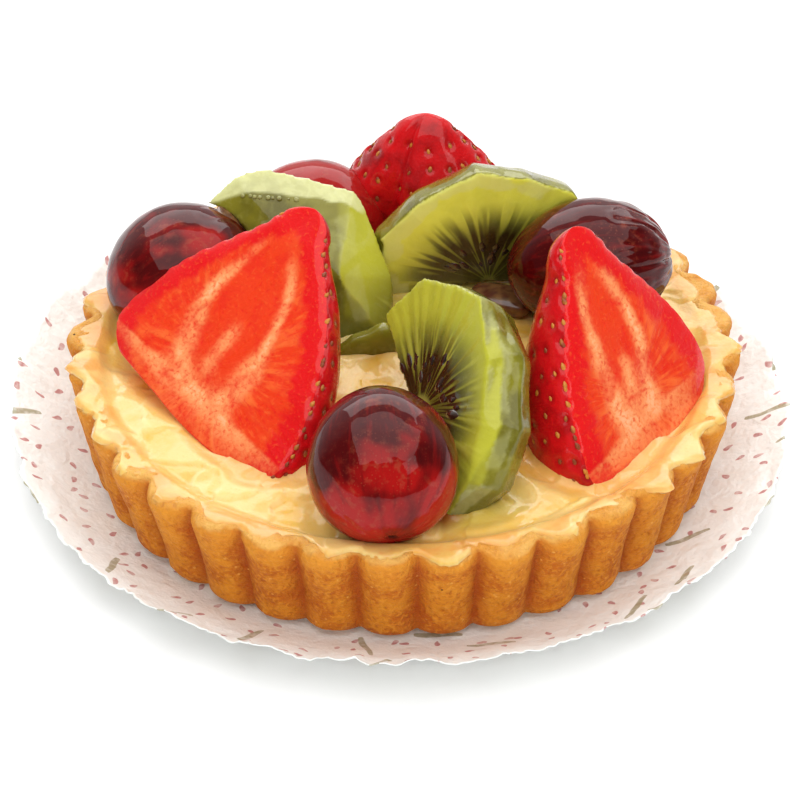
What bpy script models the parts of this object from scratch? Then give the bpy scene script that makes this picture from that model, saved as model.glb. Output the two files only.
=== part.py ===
# A round fruit tart in its paper case: a fluted pastry shell filled with custard and
# topped with strawberry halves, whole grapes and pieces of peeled kiwi.
#
# Metres, +Z up. The origin is on the underside of the paper case, under its middle.
# The front of the tart faces -Y, and bearings are turned from there towards +X.

import math
import random

import bpy
import bmesh
from mathutils import Matrix, Vector, noise

GAP = 0.0003  # clearance between pieces that touch
RANDOM_SEED = 7

# Paper case: a round of paper, cupped up outside the shell, with a wavy cut edge.
PAPER_THICKNESS = 0.0004
PAPER_FLAT_RADIUS = 0.0462
PAPER_EDGE_RADIUS = 0.0585
PAPER_EDGE_HEIGHT = 0.0056
PAPER_STEPS = 112
PAPER_RINGS = 4
PAPER_WAVES = 28
PAPER_WAVE_HEIGHT = 0.0007
PAPER_WAVE_REACH = 0.0004  # how far a wave moves the cut edge out
PAPER_SWAY_REACH = 0.0008  # the same, for the slow unevenness of the whole round
PAPER_SWAY_HEIGHT = 0.0012
PAPER_CUP = 1.5  # above 1 the paper lifts late, near its edge

# Pastry shell. A crown is where a flute stands out most.
SHELL_BOTTOM = PAPER_THICKNESS + GAP
RIM_HEIGHT = 0.0178
RIM_RADIUS = 0.0505  # of the crowns, at the rim
BASE_RADIUS = 0.0470  # of the crowns, at the base
BASE_ROUNDING = 0.0012
FLUTES_FULL_AT = 0.0090  # height above the base where the flutes reach their full depth
RIM_EDGE_HEIGHT = 0.0012  # the rim's outer edge is broken over this height and width
RIM_EDGE_WIDTH = 0.0011
RIM_ABOVE_CUSTARD = 0.0006
FLUTE_COUNT = 35
FLUTE_STEPS = 4
FLUTE_DEPTH_RIM = 0.0024
FLUTE_DEPTH_BASE = 0.0017
FLUTE_FULLNESS = 2.3  # 2 is a round flute, and above it the flute is squarer
FLUTE_BEARING = math.radians(2.4)  # the groove nearest the front
RIM_WOBBLE = 0.0006
INNER_RIM_RADIUS = 0.0449
INNER_FLOOR_RADIUS = 0.0420
FLOOR_HEIGHT = 0.0052

# Custard.
CUSTARD_EDGE_HEIGHT = 0.0163
CUSTARD_MIDDLE_HEIGHT = 0.0182
CUSTARD_SWELL = 0.0006
CUSTARD_SWELLS_PER_METRE = 90
CUSTARD_STEPS = 60
CUSTARD_RINGS = 7

# Each strawberry half: the middle of its stem end, its tip, the way its cut face looks, its
# half width and its depth behind the face. Slant raises one shoulder of the stem end above the
# other, and a higher bluntness gives a rounder tip. Laps are how far the skin bulges out past
# the face's left and right edges, in degrees round the skin, and the crease is a bearing round
# the skin and a depth as a share of the width.
STRAWBERRIES = {
    "strawberry_left": {
        "stem": (-0.0314, -0.0168, 0.0186),
        "tip": (-0.0130, 0.0015, 0.0418),
        "face": (-0.46, -0.50, 0.73),
        "half_width": 0.0209,
        "depth": 0.0135,
        "slant": 0.20,
        "bluntness": 1.0,
        "laps": (0, 28),
        "crease": (100, 0.03),
    },
    "strawberry_right": {
        "stem": (0.0363, -0.0207, 0.0160),
        "tip": (0.0246, -0.0075, 0.0441),
        "face": (0.67, -0.56, 0.48),
        "half_width": 0.0158,
        "depth": 0.0185,
        "slant": -0.24,
        "bluntness": 1.0,
        "laps": (28, 0),
        "crease": (60, 0.04),
    },
    "strawberry_back": {
        "stem": (0.0035, 0.0345, 0.0135),
        "tip": (0.0030, 0.0335, 0.0382),
        "face": (0.10, 0.97, 0.22),
        "half_width": 0.0135,
        "depth": 0.0110,
        "slant": 0.0,
        "bluntness": 1.9,
        "laps": (0, 0),
        "crease": (62, 0.22),
    },
}
STRAWBERRY_RINGS = (0, 0.07, 0.16, 0.30, 0.46, 0.62, 0.76, 0.87, 0.945, 0.985)  # shares of the length
STRAWBERRY_ARC_STEPS = 12
STRAWBERRY_FACE_STEPS = 4
SHOULDER_ROUNDING = 0.16  # how much narrower the stem end is, as a share of the width
SHOULDER_END = 0.16  # share of the length
SKIN_FULLNESS = 0.9  # below 1 the skin side is fuller than an ellipse
STEM_END_DIP = 0.03  # share of the length
STEM_END_DEPTH = 0.4  # share of the depth
TIP_DEPTH = 0.04  # share of the depth
CREASE_WIDTH = math.radians(16)

# Each grape: its middle, the way its long axis points, and its half length, width and height.
GRAPES = {
    "grape_front": ((-0.0029, -0.0365, 0.0245), (0.10, -0.80, -0.45), (0.0114, 0.0108, 0.0101)),
    "grape_left": ((-0.0336, 0.0120, 0.0228), (0.80, 0.55, 0.05), (0.0120, 0.0112, 0.0108)),
    "grape_back": ((-0.0140, 0.0290, 0.0206), (0.95, 0.10, -0.20), (0.0117, 0.0102, 0.0100)),
    "grape_right": ((0.0280, 0.0108, 0.0257), (0.97, 0.15, 0.05), (0.0124, 0.0100, 0.0099)),
}
GRAPE_RINGS = 9
GRAPE_STEPS = 16
GRAPE_TAPER = 0.05  # a grape is this much fuller at its blossom end

# Each kiwi slice is a wedge cut from a peeled kiwi: the middle of the seed ring on its face, the
# way the face looks, and the wedge's inner corner, beside the core. Facets are the corners of its
# peeled side, by bearing round the core: the radius at the face, and the body's behind it. Rows
# go from the face to the back: the distance behind the face, the share of the way from the face's
# radius to the body's, and the shrink.
KIWI_SLICES = {
    "kiwi_front": {
        "core": (0.0024, -0.0218, 0.0229),
        "face": (-0.785, -0.366, 0.50),
        "corner": (-0.0035, -0.0005),
        "facets": (
            (-92, 0.0185, 0.0180),
            (-58, 0.0190, 0.0184),
            (-25, 0.0182, 0.0186),
            (-2, 0.0168, 0.0192),
            (28, 0.0146, 0.0188),
            (62, 0.0158, 0.0186),
            (92, 0.0196, 0.0194),
            (114, 0.0188, 0.0188),
            (135, 0.0203, 0.0194),
            (164, 0.0188, 0.0180),
        ),
        "rows": ((0, 0, 1), (0.0018, 0.65, 1), (0.0045, 1, 0.98), (0.0076, 1, 0.90)),
    },
    "kiwi_right": {
        "core": (0.0131, 0.0165, 0.0185),
        "face": (0.13, -0.99, -0.02),
        "corner": (0, 0),
        "facets": (
            (-8, 0.0160, 0.0160),
            (21, 0.0188, 0.0188),
            (50, 0.0200, 0.0200),
            (72, 0.0196, 0.0196),
            (96, 0.0206, 0.0206),
            (126, 0.0190, 0.0190),
            (154, 0.0197, 0.0197),
            (188, 0.0180, 0.0180),
        ),
        "rows": ((0, 0, 1), (0.0021, 1, 0.99), (0.0042, 1, 0.96), (0.0062, 1, 0.90)),
    },
}

# The third piece of kiwi is a chunk with knife-cut sides, given by its corners.
KIWI_CHUNK = (
    (-0.0305, 0.0190, 0.0310),  # left end
    (-0.0298, 0.0185, 0.0215),
    (-0.0255, 0.0215, 0.0348),  # back of the top
    (-0.0215, 0.0218, 0.0360),
    (-0.0074, 0.0200, 0.0330),
    (-0.0233, 0.0181, 0.0335),  # front of the top
    (-0.0100, 0.0172, 0.0325),
    (-0.0240, 0.0135, 0.0270),  # front
    (-0.0096, 0.0058, 0.0270),
    (-0.0180, 0.0070, 0.0200),
    (-0.0098, 0.0010, 0.0168),
    (-0.0058, 0.0188, 0.0310),  # right end
    (-0.0040, 0.0146, 0.0270),
    (-0.0017, 0.0108, 0.0235),
    (-0.0014, 0.0090, 0.0200),
    (-0.0024, 0.0032, 0.0165),
    (-0.0028, 0.0040, 0.0100),  # underside
    (-0.0098, 0.0020, 0.0100),
    (-0.0200, 0.0090, 0.0100),
    (-0.0270, 0.0200, 0.0100),
    (-0.0060, 0.0200, 0.0100),
)

DEEPEST_FRUIT = 0.0105  # no fruit is pressed lower into the custard than this

# Where two pieces press together, the later one here gives way.
FIRM_TO_SOFT = (
    "strawberry_left",
    "strawberry_right",
    "grape_front",
    "kiwi_front",
    "grape_left",
    "grape_right",
    "grape_back",
    "kiwi_left",
    "kiwi_right",
    "strawberry_back",
)

# Colours: base colour, roughness.
COLOURS = {
    "paper": ((0.86, 0.82, 0.79), 0.8),
    "pastry": ((0.72, 0.38, 0.10), 0.7),
    "custard": ((0.90, 0.74, 0.42), 0.3),
    "strawberry": ((0.80, 0.04, 0.02), 0.25),
    "grape": ((0.20, 0.02, 0.03), 0.15),
    "kiwi": ((0.45, 0.50, 0.06), 0.2),
}
METALLIC = 0.0
SHARP_ANGLE = math.radians(35)


def clear_scene():
    for thing in list(bpy.data.objects):
        bpy.data.objects.remove(thing)


def make_material(name):
    colour, roughness = COLOURS[name]
    material = bpy.data.materials.new(name)
    material.use_nodes = True
    shader = material.node_tree.nodes["Principled BSDF"]
    shader.inputs["Base Color"].default_value = (*colour, 1.0)
    shader.inputs["Roughness"].default_value = roughness
    shader.inputs["Metallic"].default_value = METALLIC
    return material


def at_bearing(radius, bearing, height):
    """A point at this distance from the tart's axis, turned from the front towards +X."""
    return Vector((radius * math.sin(bearing), -radius * math.cos(bearing), height))


def frame_of(y_axis, z_axis, origin):
    """The placing of a piece whose own Z axis looks along z_axis, and Y as near y_axis as it can."""
    z = Vector(z_axis).normalized()
    y = Vector(y_axis)
    y = (y - y.dot(z) * z).normalized()
    turn = Matrix((y.cross(z), y, z)).transposed().to_4x4()
    return Matrix.Translation(Vector(origin)) @ turn


def loft(name, rings, material, start=None, end=None, placing=None):
    """A closed solid through the rings. Each end is closed by a point, or by a flat face."""
    shape = bmesh.new()
    rows = [[shape.verts.new(point) for point in ring] for ring in rings]
    for row, following in zip(rows, rows[1:]):
        for step in range(len(row)):
            after = (step + 1) % len(row)
            shape.faces.new((row[step], row[after], following[after], following[step]))
    for row, point in ((rows[0], start), (rows[-1], end)):
        if point is None:
            shape.faces.new(row)
            continue
        tip = shape.verts.new(point)
        for step in range(len(row)):
            shape.faces.new((row[step], row[(step + 1) % len(row)], tip))
    bmesh.ops.recalc_face_normals(shape, faces=shape.faces)
    mesh = bpy.data.meshes.new(name)
    shape.to_mesh(mesh)
    shape.free()
    mesh.shade_smooth()
    mesh.set_sharp_from_angle(angle=SHARP_ANGLE)
    mesh.materials.append(material)
    piece = bpy.data.objects.new(name, mesh)
    bpy.context.scene.collection.objects.link(piece)
    if placing:
        piece.matrix_world = placing
    return piece


def grown_copy(piece, margin=GAP):
    """A cutter: the uncut piece, with each of its faces moved out by the margin."""
    mesh = piece.data.copy()
    shape = bmesh.new()
    shape.from_mesh(mesh)
    shape.normal_update()
    moves = [vertex.normal * margin * vertex.calc_shell_factor() for vertex in shape.verts]
    for vertex, move in zip(shape.verts, moves):
        vertex.co += move
    shape.to_mesh(mesh)
    shape.free()
    cutter = bpy.data.objects.new(piece.name + "_cutter", mesh)
    cutter.hide_render = True
    cutter.display_type = "WIRE"
    bpy.context.scene.collection.objects.link(cutter)
    cutter.matrix_world = piece.matrix_world
    return cutter


def slice_off(piece, point, away):
    """Removes what lies past a plane, and closes the cut with a flat face."""
    into_piece = piece.matrix_world.inverted()
    shape = bmesh.new()
    shape.from_mesh(piece.data)
    bmesh.ops.bisect_plane(
        shape,
        geom=shape.verts[:] + shape.edges[:] + shape.faces[:],
        dist=1e-6,
        plane_co=into_piece @ Vector(point),
        plane_no=into_piece.to_3x3() @ Vector(away),
        clear_outer=True,
    )
    open_edges = [edge for edge in shape.edges if edge.is_boundary]
    bmesh.ops.holes_fill(shape, edges=open_edges, sides=0)
    bmesh.ops.recalc_face_normals(shape, faces=shape.faces)
    shape.to_mesh(piece.data)
    shape.free()
    piece.data.set_sharp_from_angle(angle=SHARP_ANGLE)


def cut(piece, cutter):
    modifier = piece.modifiers.new("room_for_" + cutter.name, "BOOLEAN")
    modifier.operation = "DIFFERENCE"
    modifier.solver = "EXACT"
    modifier.object = cutter


def paper_point(distance, bearing, lift):
    """A point on the paper, at a share of the way from its flat middle to its edge."""
    sway = 0.5 * math.sin(bearing * 2 + 0.6) + 0.5 * math.sin(bearing * 3 + 2.1)
    ripple = math.sin(PAPER_WAVES * bearing + 1.5 * math.sin(5 * bearing))
    spread = PAPER_EDGE_RADIUS - PAPER_FLAT_RADIUS + PAPER_SWAY_REACH * sway
    radius = PAPER_FLAT_RADIUS + distance * (spread + PAPER_WAVE_REACH * ripple * distance)
    height = distance ** PAPER_CUP * (PAPER_EDGE_HEIGHT + PAPER_SWAY_HEIGHT * sway)
    height += distance ** 2 * PAPER_WAVE_HEIGHT * ripple
    return at_bearing(radius, bearing, max(height, 0) + lift)


def make_paper_case(material):
    """The underside from the middle out, round the cut edge, and the top side back in."""
    bearings = [math.tau * step / PAPER_STEPS for step in range(PAPER_STEPS)]
    shares = [ring / PAPER_RINGS for ring in range(PAPER_RINGS + 1)]
    under = [[paper_point(share, bearing, 0) for bearing in bearings] for share in shares]
    over = [[paper_point(share, bearing, PAPER_THICKNESS) for bearing in bearings] for share in shares]
    rings = under + over[::-1]
    edge = under[-1]
    middle_x = (max(point.x for point in edge) + min(point.x for point in edge)) / 2
    middle_y = (max(point.y for point in edge) + min(point.y for point in edge)) / 2
    for ring in rings:
        for point in ring:
            point -= Vector((middle_x, middle_y, 0))
    top_middle = Vector((0, 0, PAPER_THICKNESS))
    return loft("paper_case", rings, material, start=Vector((0, 0, 0)), end=top_middle)


def flute_bulge(share):
    """How far a flute stands out, from 0 at its grooves to 1 at its crown."""
    return 1 - abs(2 * share - 1) ** FLUTE_FULLNESS


def make_pastry_shell(material):
    """Rings up the fluted outside, over the rim, down the inside and across the floor."""
    dice = random.Random(RANDOM_SEED)
    wobble = [(dice.uniform(-1, 1), dice.uniform(-1, 1)) for _ in range(FLUTE_COUNT)]
    # Height, radius of the crowns, depth of the flutes, and share of the rim's unevenness.
    levels = (
        (SHELL_BOTTOM, BASE_RADIUS - BASE_ROUNDING, FLUTE_DEPTH_BASE * 0.6, 0),
        (SHELL_BOTTOM + BASE_ROUNDING, BASE_RADIUS, FLUTE_DEPTH_BASE, 0),
        (SHELL_BOTTOM + FLUTES_FULL_AT, (BASE_RADIUS + RIM_RADIUS) / 2, FLUTE_DEPTH_RIM, 0.4),
        (RIM_HEIGHT - RIM_EDGE_HEIGHT, RIM_RADIUS, FLUTE_DEPTH_RIM, 1),
        (RIM_HEIGHT, RIM_RADIUS - RIM_EDGE_WIDTH, FLUTE_DEPTH_RIM * 0.9, 1),
    )
    steps = FLUTE_COUNT * FLUTE_STEPS
    rings = []
    for height, crown, depth, share in levels:
        ring = []
        for step in range(steps):
            flute, part = divmod(step, FLUTE_STEPS)
            bulge = flute_bulge(part / FLUTE_STEPS)
            out, up = wobble[flute]
            radius = crown - depth * (1 - bulge) + RIM_WOBBLE * share * out * bulge
            lift = RIM_WOBBLE * share * up * bulge
            ring.append(at_bearing(radius, FLUTE_BEARING + math.tau * step / steps, height + lift))
        rings.append(ring)
    bearings = [FLUTE_BEARING + math.tau * step / steps for step in range(steps)]
    inner_rim = CUSTARD_EDGE_HEIGHT + RIM_ABOVE_CUSTARD
    rings.append([at_bearing(INNER_RIM_RADIUS, bearing, inner_rim) for bearing in bearings])
    rings.append([at_bearing(INNER_FLOOR_RADIUS, bearing, FLOOR_HEIGHT) for bearing in bearings])
    underside = Vector((0, 0, SHELL_BOTTOM))
    floor = Vector((0, 0, FLOOR_HEIGHT))
    return loft("pastry_shell", rings, material, start=underside, end=floor)


def make_custard(material):
    """The floor and wall follow the inside of the shell; the top swells and is uneven."""
    slope = (INNER_RIM_RADIUS - INNER_FLOOR_RADIUS) / (CUSTARD_EDGE_HEIGHT - FLOOR_HEIGHT)
    floor_radius = INNER_FLOOR_RADIUS - 2 * GAP
    edge_radius = floor_radius + slope * (CUSTARD_EDGE_HEIGHT - FLOOR_HEIGHT - GAP)
    bearings = [math.tau * step / CUSTARD_STEPS for step in range(CUSTARD_STEPS)]
    floor_height = FLOOR_HEIGHT + GAP
    rings = [[at_bearing(floor_radius, bearing, floor_height) for bearing in bearings]]
    for ring in range(CUSTARD_RINGS):
        share = 1 - ring / CUSTARD_RINGS
        height = CUSTARD_MIDDLE_HEIGHT + (CUSTARD_EDGE_HEIGHT - CUSTARD_MIDDLE_HEIGHT) * share ** 2
        swell = CUSTARD_SWELL * min(1, 4 * (1 - share))
        row = []
        for bearing in bearings:
            point = at_bearing(edge_radius * share, bearing, height)
            point.z += swell * noise.noise(point * CUSTARD_SWELLS_PER_METRE)
            row.append(point)
        rings.append(row)
    top = Vector((0, 0, CUSTARD_MIDDLE_HEIGHT))
    return loft("custard", rings, material, start=Vector((0, 0, floor_height)), end=top)


def strawberry_width(share, bluntness):
    """The half width of a berry, as a share of its widest, from its stem end to its tip."""
    shoulder = 1 - SHOULDER_ROUNDING * max(0, 1 - share / SHOULDER_END) ** 2
    return shoulder * (1 - share ** (1.4 * bluntness)) * (0.98 + 0.62 * share / bluntness)


def make_strawberry(name, material, stem, tip, face, half_width, depth, slant, bluntness, laps, crease):
    """Rings from the stem end to the tip: across the flat cut face, then round the skin."""
    length = (Vector(tip) - Vector(stem)).length
    crease_turn, crease_depth = math.radians(crease[0]), crease[1]
    left_lap, right_lap = (math.radians(lap) for lap in laps)
    rings = []
    for share in STRAWBERRY_RINGS:
        width = half_width * strawberry_width(share, bluntness)
        left, right = -width * math.cos(left_lap), width * math.cos(right_lap)
        ring = []
        for step in range(STRAWBERRY_FACE_STEPS):
            ring.append(Vector((right + (left - right) * step / STRAWBERRY_FACE_STEPS, 0, share * length)))
        for step in range(STRAWBERRY_ARC_STEPS):
            way = step / STRAWBERRY_ARC_STEPS
            turn = math.pi + left_lap - (math.pi + left_lap + right_lap) * way
            lift = math.sin(left_lap) * (1 - way) + math.sin(right_lap) * way
            dent = 1 - crease_depth * math.exp(-(((turn - crease_turn) / CREASE_WIDTH) ** 2))
            side = math.sin(turn)
            fullness = math.copysign(abs(side) ** SKIN_FULLNESS, side)
            out = depth * width / half_width * (fullness + lift) / (1 + lift) * dent
            ring.append(Vector((width * math.cos(turn) * dent, max(out, 0), share * length)))
        for point in ring:
            point.z -= slant * point.x * (1 - share) ** 2
        rings.append(ring)
    start = Vector((0, STEM_END_DEPTH * depth, -STEM_END_DIP * length))
    placing = frame_of(-Vector(face), Vector(tip) - Vector(stem), stem)
    end = Vector((0, TIP_DEPTH * depth, length))
    return loft(name, rings, material, start=start, end=end, placing=placing)


def make_grape(name, material, middle, long_axis, halves):
    """Rings from the stem end of a grape to its blossom end."""
    half_length, half_width, half_height = halves
    rings = []
    for row in range(1, GRAPE_RINGS):
        tilt = math.pi * row / GRAPE_RINGS
        taper = 1 - GRAPE_TAPER * math.cos(tilt)
        ring = []
        for step in range(GRAPE_STEPS):
            turn = math.tau * step / GRAPE_STEPS
            across = half_width * taper * math.sin(tilt) * math.cos(turn)
            up = half_height * taper * math.sin(tilt) * math.sin(turn)
            ring.append(Vector((across, up, -half_length * math.cos(tilt))))
        rings.append(ring)
    placing = frame_of((0, 0, 1), long_axis, middle)
    start = Vector((0, 0, -half_length))
    end = Vector((0, 0, half_length))
    return loft(name, rings, material, start=start, end=end, placing=placing)


def make_kiwi_slice(name, material, core, face, corner, facets, rows):
    """Rows of a wedge from its face to its back: the inner corner, then the peeled side."""
    rings = []
    for depth, share, shrink in rows:
        ring = [Vector((*corner, -depth))]
        for bearing, face_radius, body_radius in facets:
            turn = math.radians(bearing)
            radius = (face_radius + (body_radius - face_radius) * share) * shrink
            ring.append(Vector((radius * math.cos(turn), radius * math.sin(turn), -depth)))
        rings.append(ring)
    return loft(name, rings, material, placing=frame_of((0, 0, 1), face, core))


def make_chunk(name, material, corners):
    """A solid with flat sides round all of its corners."""
    shape = bmesh.new()
    for corner in corners:
        shape.verts.new(corner)
    hull = bmesh.ops.convex_hull(shape, input=shape.verts)
    inside = [item for item in hull["geom_interior"] if isinstance(item, bmesh.types.BMVert)]
    bmesh.ops.delete(shape, geom=inside, context="VERTS")
    bmesh.ops.recalc_face_normals(shape, faces=shape.faces)
    mesh = bpy.data.meshes.new(name)
    shape.to_mesh(mesh)
    shape.free()
    mesh.materials.append(material)
    piece = bpy.data.objects.new(name, mesh)
    bpy.context.scene.collection.objects.link(piece)
    return piece


def boxes_meet(piece, other):
    """True where the boxes round two pieces come within the clearance of each other."""
    lows, highs = [], []
    for thing in (piece, other):
        corners = [thing.matrix_world @ Vector(corner) for corner in thing.bound_box]
        lows.append([min(corner[axis] for corner in corners) for axis in range(3)])
        highs.append([max(corner[axis] for corner in corners) for axis in range(3)])
    gaps = [max(lows[0][axis], lows[1][axis]) - min(highs[0][axis], highs[1][axis]) for axis in range(3)]
    return max(gaps) < GAP


def make_room(pieces):
    """Each piece is cut back where an earlier one presses into it."""
    cutters = []
    for piece in pieces:
        for cutter in cutters:
            if boxes_meet(piece, cutter):
                cut(piece, cutter)
        if piece is not pieces[-1]:
            cutters.append(grown_copy(piece))


def main():
    clear_scene()
    materials = {name: make_material(name) for name in COLOURS}
    make_paper_case(materials["paper"])
    make_pastry_shell(materials["pastry"])
    custard = make_custard(materials["custard"])
    fruit = {}
    for name, sizes in STRAWBERRIES.items():
        fruit[name] = make_strawberry(name, materials["strawberry"], **sizes)
    for name, (middle, long_axis, halves) in GRAPES.items():
        fruit[name] = make_grape(name, materials["grape"], middle, long_axis, halves)
    for name, sizes in KIWI_SLICES.items():
        fruit[name] = make_kiwi_slice(name, materials["kiwi"], **sizes)
    fruit["kiwi_left"] = make_chunk("kiwi_left", materials["kiwi"], KIWI_CHUNK)
    for piece in fruit.values():
        slice_off(piece, (0, 0, DEEPEST_FRUIT), (0, 0, -1))
    make_room([fruit[name] for name in FIRM_TO_SOFT] + [custard])


main()
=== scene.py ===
import math
import random

import bpy
import numpy as np
from mathutils import Matrix, Vector, bvhtree, kdtree


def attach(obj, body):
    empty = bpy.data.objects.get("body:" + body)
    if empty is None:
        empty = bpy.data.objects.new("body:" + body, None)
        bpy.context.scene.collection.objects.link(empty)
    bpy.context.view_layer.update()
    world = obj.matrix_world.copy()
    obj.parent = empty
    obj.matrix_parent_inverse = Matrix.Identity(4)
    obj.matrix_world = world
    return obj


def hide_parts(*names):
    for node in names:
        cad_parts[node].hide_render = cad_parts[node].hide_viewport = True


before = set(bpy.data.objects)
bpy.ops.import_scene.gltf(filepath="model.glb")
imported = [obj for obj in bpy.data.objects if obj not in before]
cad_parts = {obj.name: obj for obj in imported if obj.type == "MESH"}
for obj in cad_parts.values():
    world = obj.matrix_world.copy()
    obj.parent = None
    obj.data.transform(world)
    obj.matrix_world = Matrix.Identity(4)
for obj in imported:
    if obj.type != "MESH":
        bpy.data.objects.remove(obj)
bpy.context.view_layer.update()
millimetre = 0.001
print("frame loaded:", len(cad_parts), "nodes")


# ---- tools for shaping

def readPlaces(mesh, what="co"):
    values = np.empty(3 * len(mesh.vertices), np.float32)
    mesh.vertices.foreach_get(what, values)
    return values.reshape(-1, 3).astype(float)


def writePlaces(mesh, places):
    mesh.vertices.foreach_set("co", places.astype(np.float32).ravel())
    mesh.update()


def sculpt(piece, move):  # move takes the places of all vertices and gives the new ones
    writePlaces(piece.data, move(readPlaces(piece.data)))


def puff(piece, height):  # each vertex moves along its normal
    places, normals = readPlaces(piece.data), readPlaces(piece.data, "normal")
    writePlaces(piece.data, places + normals * height(places, normals)[:, None])


def mark(piece, name, values):  # a value or a vector at each vertex, for the materials to read
    values = np.asarray(values, np.float32)
    isVector = values.ndim == 2
    layer = piece.data.attributes.new(name, "FLOAT_VECTOR" if isVector else "FLOAT", "POINT")
    layer.data.foreach_set("vector" if isVector else "value", values.ravel())


def ramp(values, low, high):  # 0 below low, 1 above high, smooth between
    share = np.clip((values - low) / (high - low), 0, 1)
    return share * share * (3 - 2 * share)


def lumps(places, size, seed=0):  # smooth unevenness from -1 to 1, in lumps of about this size
    grid = places / size + 31.7 * seed
    cell = np.floor(grid).astype(np.int64)
    part = grid - cell
    part = part * part * (3 - 2 * part)
    total = np.zeros(len(places))
    for corner in np.ndindex(2, 2, 2):
        at = cell + corner
        dice = at[:, 0] * 374761393 + at[:, 1] * 668265263 + at[:, 2] * 1440662683
        dice = ((dice ^ (dice >> 13)) * 1274126177) & 0xFFFFFFFF
        dice = (dice ^ (dice >> 16)) & 0xFFFFFFFF
        total += np.prod(np.where(corner, part, 1 - part), axis=1) * (dice / 0x7FFFFFFF - 1)
    return total


def roundNoise(bearings, size, seed=0):  # the same, along a closed ring
    ring = np.stack([np.cos(bearings), np.sin(bearings), np.zeros(len(bearings))], axis=1)
    return lumps(ring / size, 1.0, seed)


def deselect():
    if bpy.context.mode != "OBJECT":
        bpy.ops.object.mode_set(mode="OBJECT")
    bpy.ops.object.select_all(action="DESELECT")


def pick(piece):
    deselect()
    piece.select_set(True)
    bpy.context.view_layer.objects.active = piece


def finishPiece(piece, material, replaces=(), sharpAngle=None):
    piece.data.materials.clear()
    piece.data.materials.append(material)
    pick(piece)
    if sharpAngle is None:
        bpy.ops.object.shade_smooth()
    else:
        bpy.ops.object.shade_smooth_by_angle(angle=math.radians(sharpAngle))
    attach(piece, "root")
    if replaces:
        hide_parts(*replaces)
    return piece


def applyAll(piece):
    pick(piece)
    for modifier in list(piece.modifiers):
        bpy.ops.object.modifier_apply(modifier=modifier.name)


def spunPiece(name, profile, steps):  # profile: radius and height, from the underside to the top
    deselect()
    bpy.ops.mesh.primitive_plane_add(size=0.001)
    piece = bpy.context.active_object
    piece.name = piece.data.name = name
    bpy.ops.object.mode_set(mode="EDIT")
    bpy.ops.mesh.select_mode(type="VERT")
    bpy.ops.mesh.select_all(action="SELECT")
    bpy.ops.mesh.merge(type="CENTER")
    bpy.ops.transform.translate(value=(profile[0][0], 0, profile[0][1]))
    for (radius, height), (nextRadius, nextHeight) in zip(profile, profile[1:]):
        step = (nextRadius - radius, 0, nextHeight - height)
        bpy.ops.mesh.extrude_vertices_move(TRANSFORM_OT_translate={"value": step})
    bpy.ops.mesh.select_all(action="SELECT")
    bpy.ops.mesh.spin(steps=steps, angle=math.tau, center=(0, 0, 0), axis=(0, 0, 1))
    bpy.ops.mesh.select_all(action="SELECT")
    bpy.ops.mesh.remove_doubles(threshold=1e-6)
    bpy.ops.mesh.normals_make_consistent(inside=False)
    bpy.ops.object.mode_set(mode="OBJECT")
    return piece


def alongProfile(points, spacing):  # adds points, so that none are further apart than the spacing
    fine = [points[0]]
    for start, end in zip(points, points[1:]):
        count = max(1, round(math.dist(start, end) / spacing))
        for step in range(1, count + 1):
            share = step / count
            fine.append(tuple(a + (b - a) * share for a, b in zip(start, end)))
    return fine


def fruitPlace(yAxis, zAxis, origin):  # turns a fruit's own axes into the tart's
    z = Vector(zAxis).normalized()
    y = Vector(yAxis)
    y = (y - y.dot(z) * z).normalized()
    turn = Matrix((y.cross(z), y, z)).transposed().to_4x4()
    return Matrix.Translation(Vector(origin)) @ turn


def moved(places, matrix):
    turn = np.array(matrix.to_3x3())
    return places @ turn.T + np.array(matrix.translation)


def scattered(name, template, matrices):  # one piece of many copies, each with its own mesh
    copies = []
    for matrix in matrices:
        copy = bpy.data.objects.new(name, template.data.copy())
        copy.data.transform(matrix)
        bpy.context.scene.collection.objects.link(copy)
        copies.append(copy)
    bpy.data.objects.remove(template)
    deselect()
    for copy in copies:
        copy.select_set(True)
    bpy.context.view_layer.objects.active = copies[0]
    bpy.ops.object.join()
    copies[0].name = copies[0].data.name = name
    return copies[0]


# ---- tools for materials

def node(tree, kind, inputs=None, **settings):
    made = tree.nodes.new(kind)
    for name, value in settings.items():
        setattr(made, name, value)
    for name, value in (inputs or {}).items():
        feed(tree, value, made.inputs[name])
    return made


def feed(tree, value, socket):
    if isinstance(value, bpy.types.NodeSocket):
        tree.links.new(value, socket)
    else:
        socket.default_value = value


def blended(tree, share, first, second, how="MIX"):
    mix = tree.nodes.new("ShaderNodeMix")
    mix.data_type = "RGBA"
    mix.blend_type = how
    for socket, value in ((0, share), (6, first), (7, second)):
        feed(tree, value if not isinstance(value, tuple) else (*value, 1.0)[:4], mix.inputs[socket])
    return mix.outputs[2]


def sums(tree, operation, first, second=0.0, clamp=False):
    made = tree.nodes.new("ShaderNodeMath")
    made.operation = operation
    made.use_clamp = clamp
    feed(tree, first, made.inputs[0])
    feed(tree, second, made.inputs[1])
    return made.outputs[0]


def between(tree, value, low, high, start=0.0, end=1.0):  # value from low to high becomes start to end
    inputs = {"Value": value, "From Min": low, "From Max": high, "To Min": start, "To Max": end}
    return node(tree, "ShaderNodeMapRange", inputs, interpolation_type="SMOOTHSTEP").outputs[0]


def cloud(tree, place, size, detail=2.0, distortion=0.0):  # size in metres
    inputs = {"Vector": place, "Scale": 1 / size, "Detail": detail, "Distortion": distortion}
    return node(tree, "ShaderNodeTexNoise", inputs).outputs["Fac"]


def attribute(tree, name, output="Fac"):
    return node(tree, "ShaderNodeAttribute", attribute_name=name).outputs[output]


def objectPlace(tree):
    return node(tree, "ShaderNodeTexCoord").outputs["Object"]


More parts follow.
